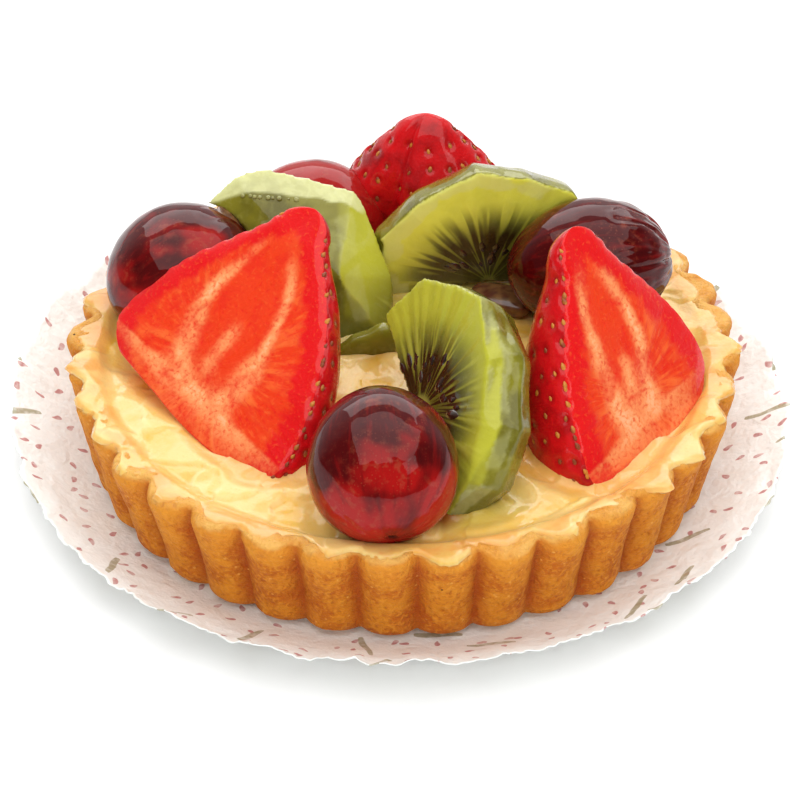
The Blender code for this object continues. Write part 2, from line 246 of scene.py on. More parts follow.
def newMaterial(name, constants):
    material = bpy.data.materials.new(name)
    material.use_nodes = True
    shader = material.node_tree.nodes["Principled BSDF"]
    for socket, value in constants.items():
        shader.inputs[socket].default_value = value
    return material, material.node_tree, shader


def newGroup(name, inputs, outputs):  # inputs: name, kind of socket and its usual value
    tree = bpy.data.node_groups.new(name, "ShaderNodeTree")
    for label, kind, value in inputs:
        socket = tree.interface.new_socket(label, in_out="INPUT", socket_type="NodeSocket" + kind)
        if value is not None:
            socket.default_value = value
    for label in outputs:
        tree.interface.new_socket(label, in_out="OUTPUT", socket_type="NodeSocketFloat")
    return tree, tree.nodes.new("NodeGroupInput").outputs, tree.nodes.new("NodeGroupOutput").inputs


def useGroup(tree, group, inputs):
    made = tree.nodes.new("ShaderNodeGroup")
    made.node_tree = group
    for name, value in inputs.items():
        feed(tree, value, made.inputs[name])
    return made.outputs


def bumped(tree, shader, height, distance, strength=1.0):
    inputs = {"Height": height, "Distance": distance, "Strength": strength}
    feed(tree, node(tree, "ShaderNodeBump", inputs).outputs[0], shader.inputs["Normal"])


def makeSpeckGroup():  # round specks, each in a cell of its own, in a share of the cells
    inputs = (("Place", "Vector", None), ("Cell size", "Float", 0.002), ("Speck size", "Float", 0.3), ("Share", "Float", 0.5))
    group, given, out = newGroup("specks", inputs, ("Mask",))
    scale = sums(group, "DIVIDE", 1.0, given["Cell size"])
    cells = node(group, "ShaderNodeTexVoronoi", {"Vector": given["Place"], "Scale": scale})
    chosen = sums(group, "LESS_THAN", node(group, "ShaderNodeSeparateColor", {"Color": cells.outputs["Color"]}).outputs[0], given["Share"])
    edge = sums(group, "MULTIPLY", given["Speck size"], 0.5)
    inside = between(group, cells.outputs["Distance"], given["Speck size"], edge)
    feed(group, sums(group, "MULTIPLY", inside, chosen), out["Mask"])
    return group


def makeGrainGroup():  # broad and fine unevenness of a food's colour and surface
    inputs = (("Place", "Vector", None), ("Broad size", "Float", 0.006), ("Fine size", "Float", 0.0006))
    group, given, out = newGroup("grain", inputs, ("Broad", "Fine"))
    for label, detail in (("Broad", 3.0), ("Fine", 2.0)):
        scale = sums(group, "DIVIDE", 1.0, given[label + " size"])
        inputs = {"Vector": given["Place"], "Scale": scale, "Detail": detail}
        feed(group, node(group, "ShaderNodeTexNoise", inputs).outputs["Fac"], out[label])
    return group


def makeStrokeGroup():  # printed strokes, one in each cell, turned at random, that taper to their ends
    inputs = (("Place", "Vector", None), ("Cell size", "Float", 0.01), ("Half length", "Float", 0.005),
              ("Half width", "Float", 0.001), ("Wave", "Float", 0.0), ("Lean", "Float", 0.0), ("Taper", "Float", 1.0), ("Share", "Float", 0.8))
    group, given, out = newGroup("printedStrokes", inputs, ("Mask",))
    scale = sums(group, "DIVIDE", 1.0, given["Cell size"])
    cells = node(group, "ShaderNodeTexVoronoi", {"Vector": given["Place"], "Scale": scale, "Randomness": 0.8}, voronoi_dimensions="2D")
    chance = node(group, "ShaderNodeSeparateColor", {"Color": cells.outputs["Color"]}).outputs
    middle = node(group, "ShaderNodeVectorMath", {0: given["Place"], 1: cells.outputs["Position"]}, operation="SUBTRACT")
    angle = sums(group, "MULTIPLY", chance[0], math.tau)
    turned = node(group, "ShaderNodeVectorRotate", {"Vector": middle.outputs[0], "Angle": angle}, rotation_type="Z_AXIS")
    place = node(group, "ShaderNodeSeparateXYZ", {0: turned.outputs[0]}).outputs
    along = sums(group, "DIVIDE", place[0], given["Half length"])
    bend = sums(group, "MULTIPLY", sums(group, "SINE", sums(group, "MULTIPLY", along, 3.4)), given["Wave"])
    across = sums(group, "ABSOLUTE", sums(group, "SUBTRACT", place[1], bend))
    inner = sums(group, "SUBTRACT", 1.0, sums(group, "MULTIPLY", along, along), True)
    taper = sums(group, "POWER", inner, given["Taper"])
    lean = sums(group, "ADD", 1.0, sums(group, "MULTIPLY", along, given["Lean"]))
    width = sums(group, "MULTIPLY", given["Half width"], sums(group, "MULTIPLY", taper, lean))
    inside = between(group, sums(group, "SUBTRACT", across, width), 0.00010, -0.00006)
    inside = sums(group, "MULTIPLY", inside, sums(group, "GREATER_THAN", inner, 0.0))
    chosen = sums(group, "LESS_THAN", chance[1], given["Share"])
    feed(group, sums(group, "MULTIPLY", inside, chosen), out["Mask"])
    return group


specks = makeSpeckGroup()
grain = makeGrainGroup()
printedStrokes = makeStrokeGroup()


# ---- pastry shell

crust = {
    "flutes": 35,
    "firstGroove": math.radians(2.4),
    "grooveAtRim": 0.0024,
    "grooveAtBase": 0.0017,
    "fullness": 2.3,
    "innerRadius": 0.0449,
    "innerHeight": 0.0169,
    "rimRadius": 0.0494,
    "rimHeight": 0.0178,
    "rimWobble": 0.0006,
    "stepsPerFlute": 24,
    "ringSpacing": 0.00042,
    # radius and height of the crowns, from the middle of the underside round to the floor inside
    "profile": (
        (0, 0.0007), (0.0400, 0.0007), (0.0452, 0.0007), (0.0464, 0.0011), (0.0470, 0.0019), (0.0488, 0.0097),
        (0.0504, 0.0158), (0.0505, 0.0166), (0.0502, 0.0173), (0.0494, 0.0178), (0.0480, 0.0178),
        (0.0449, 0.0169), (0.0420, 0.0060), (0, 0.0060),
    ),
    "goldenFace": (0.70, 0.250, 0.019),
    "browner": (0.56, 0.152, 0.012),
    # brown for random darker crumb, and painted shade in the grooves
    "brownAndGrooveShade": (0.41, 0.075, 0.010),
    "underRim": (0.78, 0.31, 0.032),
    "rimTop": (0.83, 0.45, 0.11),
    "paleSpeck": (0.88, 0.46, 0.10),
    "pinhole": (0.10, 0.025, 0.008),
}

fluteDice = random.Random(7)
fluteWobble = np.array([(fluteDice.uniform(-1, 1), fluteDice.uniform(-1, 1)) for _ in range(crust["flutes"])])


def bearingOf(places):  # turned from the front towards +X
    return np.arctan2(places[:, 0], -places[:, 1])


def fluteBulge(bearings):  # from 0 in a groove to 1 on a crown
    share = (bearings - crust["firstGroove"]) / math.tau * crust["flutes"] % 1
    return 1 - np.abs(2 * share - 1) ** crust["fullness"]


def fluteOf(bearings):
    return np.floor((bearings - crust["firstGroove"]) / math.tau * crust["flutes"]).astype(int) % crust["flutes"]


def rimOutline(bearings):  # radius of the rim's outer edge, as seen from above
    bulge = fluteBulge(bearings)
    wobble = crust["rimWobble"] * fluteWobble[fluteOf(bearings), 0] * bulge
    return 0.0504 - crust["grooveAtRim"] * (1 - bulge) + wobble


def rimTopHeight(radii, bearings):
    pushedIn = crust["grooveAtRim"] * (1 - fluteBulge(bearings)) * ramp(radii, 0.0445, 0.0485)  # the flutes shift the top inwards
    share = np.clip((radii + pushedIn - crust["innerRadius"]) / (crust["rimRadius"] - crust["innerRadius"]), 0, 1)
    lift = crust["rimWobble"] * fluteWobble[fluteOf(bearings), 1] * fluteBulge(bearings)
    return crust["innerHeight"] + (crust["rimHeight"] - crust["innerHeight"] + lift) * share


def makeCrustMaterial():
    constants = {"Roughness": 0.62, "Specular IOR Level": 0.15, "Subsurface Weight": 0.08,
                 "Subsurface Radius": (0.0015, 0.0007, 0.0003), "Subsurface Scale": 1.0}
    material, tree, shader = newMaterial("bakedCrust", constants)
    place = objectPlace(tree)
    patches = useGroup(tree, grain, {"Place": place, "Broad size": 0.0045, "Fine size": 0.0007})
    colour = blended(tree, between(tree, patches["Broad"], 0.40, 0.62), crust["goldenFace"], crust["browner"])
    colour = blended(tree, between(tree, patches["Fine"], 0.48, 0.66, 0.0, 0.7), colour, crust["underRim"])
    colour = blended(tree, between(tree, patches["Fine"], 0.44, 0.28, 0.0, 0.5), colour, crust["brownAndGrooveShade"])
    # painted shade: the grooves between the flutes are darkened
    colour = blended(tree, attribute(tree, "groove"), colour, crust["brownAndGrooveShade"])
    colour = blended(tree, sums(tree, "MULTIPLY", attribute(tree, "underRim"), 0.8), colour, crust["underRim"])
    colour = blended(tree, sums(tree, "MULTIPLY", attribute(tree, "top"), between(tree, patches["Broad"], 0.35, 0.6, 0.35, 1.0)), colour, crust["rimTop"])
    pale = useGroup(tree, specks, {"Place": place, "Cell size": 0.0016, "Speck size": 0.17, "Share": 0.4})
    colour = blended(tree, sums(tree, "MULTIPLY", pale["Mask"], 0.6), colour, crust["paleSpeck"])
    dark = useGroup(tree, specks, {"Place": place, "Cell size": 0.0042, "Speck size": 0.055, "Share": 0.35})
    colour = blended(tree, dark["Mask"], colour, crust["pinhole"])
    feed(tree, colour, shader.inputs["Base Color"])
    feed(tree, between(tree, attribute(tree, "top"), 0, 1, 0.6, 0.3), shader.inputs["Roughness"])
    relief = sums(tree, "SUBTRACT", patches["Fine"], sums(tree, "MULTIPLY", dark["Mask"], 0.8))
    relief = sums(tree, "ADD", relief, sums(tree, "MULTIPLY", cloud(tree, place, 0.0003, 2.0), 0.4))
    bumped(tree, shader, relief, 0.0006, 0.85)
    return material


def makeCrust():
    profile = alongProfile(crust["profile"], crust["ringSpacing"])
    # the hidden middle of the underside and of the floor needs no rings
    profile = [point for point in profile if point[0] == 0 or point[0] > 0.0400 or point[1] > 0.0065]
    piece = spunPiece("crust", profile, crust["flutes"] * crust["stepsPerFlute"])

    def flute(places):
        radii = np.hypot(places[:, 0], places[:, 1])
        bearings, heights = bearingOf(places), places[:, 2]
        bulge = fluteBulge(bearings)
        upShare = ramp(heights, 0.001, 0.0100)
        depth = crust["grooveAtBase"] + (crust["grooveAtRim"] - crust["grooveAtBase"]) * upShare
        top = ramp(radii, crust["innerRadius"], 0.0500)
        wall = ramp(radii, 0.0400, 0.0455) * ((radii > 0.0455) | (heights < 0.003))
        outside = np.where(heights > 0.0165, top, wall)
        wobble = fluteWobble[fluteOf(bearings)] * crust["rimWobble"] * bulge[:, None]
        rise = ramp(heights, 0.006, 0.0165) * outside
        newRadii = radii - depth * (1 - bulge) * outside + wobble[:, 0] * rise
        places = places.copy()
        places[:, 0], places[:, 1] = newRadii * np.sin(bearings), -newRadii * np.cos(bearings)
        places[:, 2] += wobble[:, 1] * ramp(heights, 0.012, 0.0178) * outside
        return places

    sculpt(piece, flute)
    piece.modifiers.new("soften", "SMOOTH").iterations = 2
    applyAll(piece)

    def crumble(places, normals):
        radii = np.hypot(places[:, 0], places[:, 1])
        heights = places[:, 2]
        rim = ramp(heights, 0.0150, 0.0172) * ramp(radii, 0.0452, 0.0470)
        foot = ramp(heights, 0.0030, 0.0010) * ramp(radii, 0.0430, 0.0455)
        outside = np.maximum(rim, ramp(radii, 0.0435, 0.0455))
        broad = 0.14 * lumps(places, 0.0065, 1) + 0.09 * lumps(places, 0.0024, 2) + 0.045 * lumps(places, 0.0009, 3)
        pits = -0.38 * ramp(lumps(places, 0.0011, 4), 0.62, 0.95)
        ragged = rim * (0.20 * lumps(places, 0.0017, 5) + 0.14 * lumps(places, 0.0008, 6))
        ragged += foot * (0.28 * lumps(places, 0.0021, 7) + 0.12 * lumps(places, 0.0009, 8))
        flat = normals[:, 2] < -0.7  # the underside stays flat
        return np.where(flat, 0, millimetre * outside * (broad + pits + ragged))

    puff(piece, crumble)
    sculpt(piece, lambda places: np.maximum(places, (-9, -9, 0.0005)))
    places, normals = readPlaces(piece.data), readPlaces(piece.data, "normal")
    radii, heights, bearings = np.hypot(places[:, 0], places[:, 1]), places[:, 2], bearingOf(places)
    wall = ramp(radii, 0.0445, 0.0460) * ramp(normals[:, 2], 0.75, 0.35)
    groove = np.clip(1 - fluteBulge(bearings) * 1.15, 0, 1) ** 1.3
    # painted shade in the grooves, read by the crust material
    mark(piece, "groove", wall * groove)
    mark(piece, "underRim", wall * ramp(heights + 0.0012 * lumps(places, 0.003, 9), 0.0138, 0.0168) * (1 - 0.8 * groove))
    mark(piece, "top", ramp(normals[:, 2], 0.35, 0.8) * ramp(heights, 0.0150, 0.0168))
    return finishPiece(piece, makeCrustMaterial(), ["pastry_shell"])


makeCrust()
print("crust done")


# ---- fruit places, shared by the custard round them

def surfaceOf(nodeName):
    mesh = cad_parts[nodeName].data
    return bvhtree.BVHTree.FromPolygons([v.co for v in mesh.vertices], [p.vertices for p in mesh.polygons])


def distanceTo(nodeNames, places, reach):  # to the nearest of these nodes, up to the reach
    nearest = np.full(len(places), reach)
    for surface in [surfaceOf(name) for name in nodeNames]:
        for index, place in enumerate(places):
            found = surface.find_nearest(place, nearest[index])
            if found[0] is not None:
                nearest[index] = found[3]
    return nearest


# ---- custard

filling = {
    "cells": 270,
    "edgeHeight": 0.0163,
    "middleHeight": 0.0182,
    "levelRadius": 0.0445,
    "floorRadius": 0.0412,
    "floorHeight": 0.0064,
    "grooveRadius": 0.0483,
    "crownReach": 0.0021,
    "film": 0.00050,  # thickness of what has run over the rim
    "plates": ((0.0085, 0.00034), (0.0048, 0.00022)),  # size and height of the stepped patches of set glaze
    "cream": (0.87, 0.53, 0.13),
    "pale": (0.92, 0.64, 0.23),
    "yellow": (0.84, 0.47, 0.040),
    "peach": (0.87, 0.38, 0.085),
    "green": (0.58, 0.50, 0.07),
    # painted shade where fruits crowd together
    "shadeAmber": (0.33, 0.085, 0.012),
}


def makeFillingMaterial():
    constants = {"Roughness": 0.35, "Specular IOR Level": 0.1, "Coat Weight": 1.0, "Coat Roughness": 0.03, "Coat IOR": 1.40,
                 "Subsurface Weight": 0.25, "Subsurface Radius": (0.003, 0.0018, 0.0008), "Subsurface Scale": 1.0}
    material, tree, shader = newMaterial("glazedCustard", constants)
    place = objectPlace(tree)
    swirl = cloud(tree, place, 0.008, 3.0, 0.6)
    fine = cloud(tree, place, 0.0018, 3.0)
    grainy = cloud(tree, place, 0.0005, 2.0)
    colour = blended(tree, attribute(tree, "plate"), filling["cream"], filling["pale"])
    pools = sums(tree, "MULTIPLY", between(tree, swirl, 0.50, 0.60), sums(tree, "SUBTRACT", 1.0, attribute(tree, "overRim")))
    pools = sums(tree, "MULTIPLY", pools, between(tree, attribute(tree, "plate"), 0.0, 1.0, 1.0, 0.35))
    colour = blended(tree, sums(tree, "MULTIPLY", pools, 0.9), colour, filling["yellow"])
    colour = blended(tree, between(tree, fine, 0.35, 0.75, 0.0, 0.35), colour, filling["pale"])
    colour = blended(tree, between(tree, grainy, 0.55, 0.75, 0.0, 0.25), colour, filling["yellow"])
    rimTint = sums(tree, "MULTIPLY", attribute(tree, "overRim"), between(tree, swirl, 0.40, 0.56, 0.15, 0.8))
    colour = blended(tree, rimTint, colour, filling["peach"])
    # peach near the strawberries: partly orange glaze, partly a painted reflection of the red fruit
    colour = blended(tree, sums(tree, "MULTIPLY", attribute(tree, "nearBerry"), 0.6), colour, filling["peach"])
    colour = blended(tree, sums(tree, "MULTIPLY", attribute(tree, "nearKiwi"), 0.55), colour, filling["green"])
    # painted shade: amber darkening where several fruits stand close
    colour = blended(tree, attribute(tree, "shadeBetweenFruit"), colour, filling["shadeAmber"])
    feed(tree, colour, shader.inputs["Base Color"])
    relief = sums(tree, "ADD", fine, sums(tree, "MULTIPLY", grainy, 0.3))
    bumped(tree, shader, relief, 0.0004, 0.5)
    return material


def makeFilling():
    deselect()
    bpy.ops.mesh.primitive_grid_add(x_subdivisions=filling["cells"], y_subdivisions=filling["cells"], size=2)
    piece = bpy.context.active_object
    piece.name = piece.data.name = "filling"
    bpy.ops.object.mode_set(mode="EDIT")
    bpy.ops.mesh.select_mode(type="EDGE")
    topCount = len(piece.data.vertices)
    for _ in range(3):  # the edge turns under, then down the wall to the floor
        bpy.ops.mesh.select_all(action="DESELECT")
        bpy.ops.mesh.select_non_manifold()
        bpy.ops.mesh.extrude_edges_indiv()
    bpy.ops.mesh.edge_face_add()
    bpy.ops.object.mode_set(mode="OBJECT")
    ringCount = (len(piece.data.vertices) - topCount) // 3
    square = readPlaces(piece.data)
    x, y = square[:, 0], square[:, 1]
    u, v = x * np.sqrt(1 - y * y / 2), y * np.sqrt(1 - x * x / 2)
    share, bearings = np.hypot(u, v), np.arctan2(u, -v)
    bare = ramp(roundNoise(bearings, 0.16, 3), 0.05, 0.65)  # where the baked rim shows
    inset = 0.0017 * bare + 0.0003 * roundNoise(bearings, 0.012, 5)
    fluteShare = (bearings - crust["firstGroove"]) / math.tau * crust["flutes"] % 1
    onCrown = np.sin(math.pi * fluteShare) ** 2
    onCrown *= filling["crownReach"] + 0.0008 * roundNoise(bearings, 0.05, 4)
    edge = filling["grooveRadius"] + onCrown - inset  # the film hangs over the grooves and stops short on the crowns
    radii = share * edge
    places = np.stack([radii * np.sin(bearings), -radii * np.cos(bearings), np.zeros(len(radii))], axis=1)
    middleShare = np.clip(radii / filling["levelRadius"], 0, 1) ** 2
    level = filling["middleHeight"] + (filling["edgeHeight"] + 0.0003 - filling["middleHeight"]) * middleShare
    swells = 0.50 * lumps(places, 0.0105, 1) + 0.34 * lumps(places, 0.0050, 2) + 0.12 * lumps(places, 0.0022, 3)
    plate = [ramp(lumps(places, size, 11) + 0.12 * lumps(places, 0.0018, 12), 0.02, 0.12) for size, _ in filling["plates"]]
    swells += sum(height / millimetre * patch for patch, (_, height) in zip(plate, filling["plates"])) - 0.3
    level += millimetre * swells * ramp(share, 1.0, 0.93)
    top = places[:topCount]
    fruitNodes = [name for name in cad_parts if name.split("_")[0] in ("strawberry", "grape", "kiwi")]
    reach = 0.006
    surface = np.stack([top[:, 0], top[:, 1], level[:topCount]], axis=1)
    toFruit = distanceTo(fruitNodes, surface, reach)
    level[:topCount] += 0.0006 * np.exp(-toFruit / 0.0007) - 0.0007 * ramp(toFruit, 0.0045, 0.0015)
    film = filling["film"] * (1 - share ** 40) + millimetre * (0.12 * lumps(places, 0.0028, 6) + 0.15 * plate[1])
    over = rimTopHeight(radii, bearings) + film
    overRim = ramp(radii, 0.0436, 0.0460)
    places[:, 2] = level * (1 - overRim) + over * overRim - 0.0004 * ramp(share, 0.988, 1.0)
    for ring, (radius, height) in enumerate(((None, 0.0166), (0.0440, 0.0150), (filling["floorRadius"], filling["floorHeight"]))):
        rows = slice(topCount + ring * ringCount, topCount + (ring + 1) * ringCount)
        ringRadii = (edge[rows] - 0.0009) if radius is None else np.full(ringCount, radius)
        places[rows, 0], places[rows, 1] = ringRadii * np.sin(bearings[rows]), -ringRadii * np.cos(bearings[rows])
        places[rows, 2] = height
    writePlaces(piece.data, places)
    pick(piece)
    bpy.ops.object.mode_set(mode="EDIT")
    bpy.ops.mesh.select_all(action="SELECT")
    bpy.ops.mesh.normals_make_consistent(inside=False)
    bpy.ops.object.mode_set(mode="OBJECT")
    rest = np.zeros(len(places) - topCount)
    near = {}
    for fruit in ("strawberry", "kiwi", "grape"):
        distance = distanceTo([name for name in fruitNodes if name.startswith(fruit)], places[:topCount], reach)
        near[fruit] = np.concatenate([ramp(distance, 0.0050, 0.0003), rest])
    # partly orange glaze, partly a painted reflection of the red fruit
    mark(piece, "nearBerry", near["strawberry"])
    mark(piece, "nearKiwi", near["kiwi"])
    # painted shade where fruits stand close on several sides
    mark(piece, "shadeBetweenFruit", np.clip(near["strawberry"] + near["kiwi"] + near["grape"] - 0.9, 0, 1))
    mark(piece, "overRim", overRim)
    mark(piece, "plate", np.clip(0.6 * plate[0] + 0.6 * plate[1], 0, 1))
    return finishPiece(piece, makeFillingMaterial(), ["custard"])


makeFilling()
print("filling done")


# ---- strawberries

# stem: middle of the stem end, tip, face: where the cut face looks, all as in the solids
berries = {
    "strawberry_left": {
        "stem": (-0.0320, -0.0175, 0.0178), "tip": (-0.0129, 0.0016, 0.0420), "face": (-0.46, -0.50, 0.73),
        "halfWidth": 0.0211, "depth": 0.0135, "slant": 0.20, "bluntness": 1.0, "laps": (0, 22), "crease": (100, 0.03),
        "tipRound": 0.0058, "coreHalf": 0.0070, "coreFrom": 0.12, "coreTo": 0.88, "coreShift": -0.0010, "paleStem": 0.25,
    },
    "strawberry_right": {
        "stem": (0.0367, -0.0211, 0.0152), "tip": (0.0243, -0.0072, 0.0448), "face": (0.67, -0.56, 0.48),
        "halfWidth": 0.0165, "depth": 0.0185, "slant": -0.24, "bluntness": 1.0, "laps": (28, 0), "crease": (60, 0.04),
        "tipRound": 0.0052, "coreHalf": 0.0044, "coreFrom": 0.14, "coreTo": 0.92, "coreShift": -0.0004, "paleStem": 0.5,
    },
    "strawberry_back": {
        "stem": (0.0035, 0.0345, 0.0135), "tip": (0.0036, 0.0335, 0.0382), "face": (0.10, 0.97, 0.22),
        "halfWidth": 0.0135, "depth": 0.0110, "slant": 0.0, "bluntness": 1.9, "laps": (0, 0), "crease": (62, 0.20),
        "tipRound": 0.0066, "coreHalf": 0.0045, "coreFrom": 0.12, "coreTo": 0.80, "coreShift": 0.0, "paleStem": 0.5,
    },
}
berryLook = {
    "segments": 216,
    "rings": 118,
    "stemShare": 0.12,  # share of the rings that close the stem end
    "creaseWidth": math.radians(10),
    "shoulder": (0.16, 0.16),  # how much narrower the stem end is, and how far up that reaches
    "rowGap": 0.0028,  # between rows of seeds
    "seedGap": 0.0032,  # along a row
    "dimpleDepth": 0.00034,
    "dimpleRadius": 0.00062,
    "notchDepth": 0.00062,  # where a dimple meets the cut edge
    "seedHalf": (0.00034, 0.00022, 0.00056),
    "skin": (0.62, 0.006, 0.009),
    # random darker skin, and painted shade
    "darkSkinAndShade": (0.33, 0.004, 0.006),
    "rimRed": (0.74, 0.009, 0.010),
    "flesh": (0.80, 0.047, 0.010),
    "orange": (0.88, 0.15, 0.030),
    "salmon": (0.94, 0.33, 0.12),
    "whitish": (0.95, 0.53, 0.30),
    "seed": (0.60, 0.22, 0.028),
    "darkSeed": (0.26, 0.050, 0.014),
}


def softMax(first, second, blend=0.0012):
    return (first + second + np.sqrt((first - second) ** 2 + blend ** 2) - blend) / 2


def berryWidth(share, plan, length):
    narrowing, reach = berryLook["shoulder"]
    shoulder = 1 - narrowing * np.maximum(0, 1 - share / reach) ** 2
    blunt = plan["bluntness"]
    cone = plan["halfWidth"] * shoulder * (1 - share ** (1.4 * blunt)) * (0.98 + 0.62 * share / blunt)
    radius = plan["tipRound"]
    ball = np.sqrt(np.maximum(radius ** 2 - ((share - 1) * length + radius) ** 2, 0))
    return softMax(cone, ball)


def coreGap(sideways, share, plan, length):  # how far outside the pale, drop-shaped line round the core
    reach = np.clip((share - plan["coreFrom"]) / (plan["coreTo"] - plan["coreFrom"]), 0.002, 1)
    half = 2.36 * plan["coreHalf"] * reach ** 0.45 * (1 - reach) ** 0.9
    slope = half * (0.45 / reach - 0.9 / np.maximum(1 - reach, 0.05)) / (length * (plan["coreTo"] - plan["coreFrom"]))
    below = np.maximum(plan["coreFrom"] - share, 0) * length
    return np.hypot((np.abs(sideways) - half) / np.sqrt(1 + slope ** 2), below) * np.sign(np.abs(sideways) - half + 2 * below)


def berryShape(around, up, plan, length):  # around: 0 to pi over the skin, pi to 2 pi over the cut face
    stemShare = berryLook["stemShare"]
    share = np.sin(np.clip((up - stemShare) / (1 - stemShare), 0, 1) * math.pi / 2) ** 0.9
    close = np.clip(up / stemShare, 0, 1) ** 0.6
    width = berryWidth(share, plan, length) * close
    leftLap, rightLap = (math.radians(lap) for lap in plan["laps"])
    way = np.clip(around / math.pi, 0, 1)
    turn = -rightLap + (math.pi + leftLap + rightLap) * way
    lift = math.sin(rightLap) * (1 - way) + math.sin(leftLap) * way
    dent = 1 - plan["crease"][1] * np.exp(-(((turn - math.radians(plan["crease"][0])) / berryLook["creaseWidth"]) ** 2))
    side = np.sin(turn)
    skin = plan["depth"] * width / plan["halfWidth"] * (np.sign(side) * np.abs(side) ** 0.9 + lift) / (1 + lift) * dent
    onSkin = around <= math.pi
    across = np.cos(around)
    leftEdge, rightEdge = -width * math.cos(leftLap), width * math.cos(rightLap)
    flatX = (leftEdge + rightEdge) / 2 + (rightEdge - leftEdge) / 2 * across
    crown = -0.0005 * (1 - across ** 6) * np.minimum(width / 0.006, 1)
    x = np.where(onSkin, width * np.cos(turn) * dent, flatX)
    y = np.where(onSkin, np.maximum(skin, 0), crown)
    z = share * length - 0.03 * length * (1 - close) - plan["slant"] * x * (1 - share) ** 2
    return np.stack([x, y, z], axis=1), share, width


def makeBerryMaterial():
    constants = {"Roughness": 0.28, "Specular IOR Level": 0.1, "Coat Weight": 1.0, "Coat Roughness": 0.035, "Coat IOR": 1.34,
                 "Subsurface Weight": 0.12, "Subsurface Radius": (0.003, 0.0005, 0.0003), "Subsurface Scale": 1.0}
    material, tree, shader = newMaterial("strawberry", constants)
    place = objectPlace(tree)
    fibres = cloud(tree, attribute(tree, "fibre", "Vector"), 1.0, 3.0, 0.35)
    fine = cloud(tree, attribute(tree, "fibre", "Vector"), 0.4, 2.0, 0.3)
    blotch = cloud(tree, place, 0.0042, 3.0, 0.5)
    gritty = cloud(tree, place, 0.0006, 3.0, 0.4)
    outside = attribute(tree, "fibreShare")
    rim = sums(tree, "ADD", attribute(tree, "rimRed"), between(tree, fibres, 0.3, 0.7, -0.26, 0.26))
    lit = sums(tree, "MULTIPLY", outside, between(tree, fibres, 0.45, 0.72))
    face = blended(tree, lit, berryLook["flesh"], berryLook["orange"])
    face = blended(tree, sums(tree, "MULTIPLY", outside, between(tree, fine, 0.55, 0.78, 0.0, 0.6)), face, berryLook["orange"])
    face = blended(tree, sums(tree, "MULTIPLY", outside, between(tree, fine, 0.45, 0.25, 0.0, 0.5)), face, berryLook["rimRed"])
    face = blended(tree, between(tree, blotch, 0.5, 0.32, 0.0, 0.45), face, berryLook["rimRed"])
    face = blended(tree, between(tree, rim, 0.25, 0.75), face, berryLook["rimRed"])
    wander = sums(tree, "MULTIPLY", between(tree, blotch, 0.25, 0.6, 0.4, 1.1), between(tree, gritty, 0.35, 0.65, 0.75, 1.1))
    paleness = sums(tree, "MULTIPLY", attribute(tree, "pale"), wander)
    face = blended(tree, between(tree, paleness, 0.05, 0.95), face, berryLook["salmon"])
    face = blended(tree, between(tree, paleness, 0.75, 1.4), face, berryLook["whitish"])
    face = blended(tree, between(tree, gritty, 0.55, 0.75, 0.0, 0.35), face, berryLook["orange"])
    face = blended(tree, between(tree, gritty, 0.42, 0.28, 0.0, 0.5), face, berryLook["rimRed"])
    skin = blended(tree, between(tree, blotch, 0.45, 0.8), berryLook["skin"], berryLook["darkSkinAndShade"])
    # painted shade: the skin darkens where it faces down
    skin = blended(tree, attribute(tree, "underside"), skin, berryLook["darkSkinAndShade"])
    # painted shade in the dimples round the seeds
    skin = blended(tree, sums(tree, "MULTIPLY", attribute(tree, "dimple"), 0.85), skin, berryLook["darkSkinAndShade"])
    feed(tree, blended(tree, attribute(tree, "cutFace"), skin, face), shader.inputs["Base Color"])
    feed(tree, between(tree, fibres, 0.2, 0.8, 0.22, 0.42), shader.inputs["Roughness"])
    relief = sums(tree, "ADD", sums(tree, "MULTIPLY", fibres, outside), blotch)
    relief = sums(tree, "ADD", relief, sums(tree, "MULTIPLY", gritty, 0.5))
    bumped(tree, shader, relief, 0.00045, 0.5)
    return material


def makeSeedMaterial():
    material, tree, shader = newMaterial("strawberrySeed", {"Roughness": 0.4, "Specular IOR Level": 0.3, "Coat Weight": 0.3, "Coat Roughness": 0.1})
    tone = cloud(tree, objectPlace(tree), 0.0035, 2.0)
    colour = blended(tree, between(tree, tone, 0.42, 0.58), berryLook["seed"], berryLook["darkSeed"])
    feed(tree, colour, shader.inputs["Base Color"])
    return material


def berrySeeds(name, plan, length):  # around and up: rows round the skin, each shifted against the last, and the cut edges
    dice = random.Random(name)
    stemShare = berryLook["stemShare"]
    upOf = lambda share: stemShare + (1 - stemShare) * math.asin(share ** (1 / 0.9)) / (math.pi / 2)
    spots = []
    for row in range(int(length / berryLook["rowGap"])):
        share = (row + 0.55) * berryLook["rowGap"] / length
        width = float(berryWidth(np.array([share]), plan, length)[0])
        arc = math.pi * (width + plan["depth"] * width / plan["halfWidth"]) / 2
        count = max(2, round(arc / berryLook["seedGap"]))
        for step in range(count):
            around = math.pi * (step + 0.25 + 0.5 * (row % 2) + dice.uniform(-0.16, 0.16)) / count
            spots.append((around, upOf(min(share + dice.uniform(-0.018, 0.018), 0.97))))
    edgeCount = int(length / 0.0025)
    for side in (0.03, math.pi - 0.03):
        for index in range(1, edgeCount):
            spots.append((side, upOf(min((index + dice.uniform(-0.25, 0.25)) / edgeCount, 0.96))))
    return spots


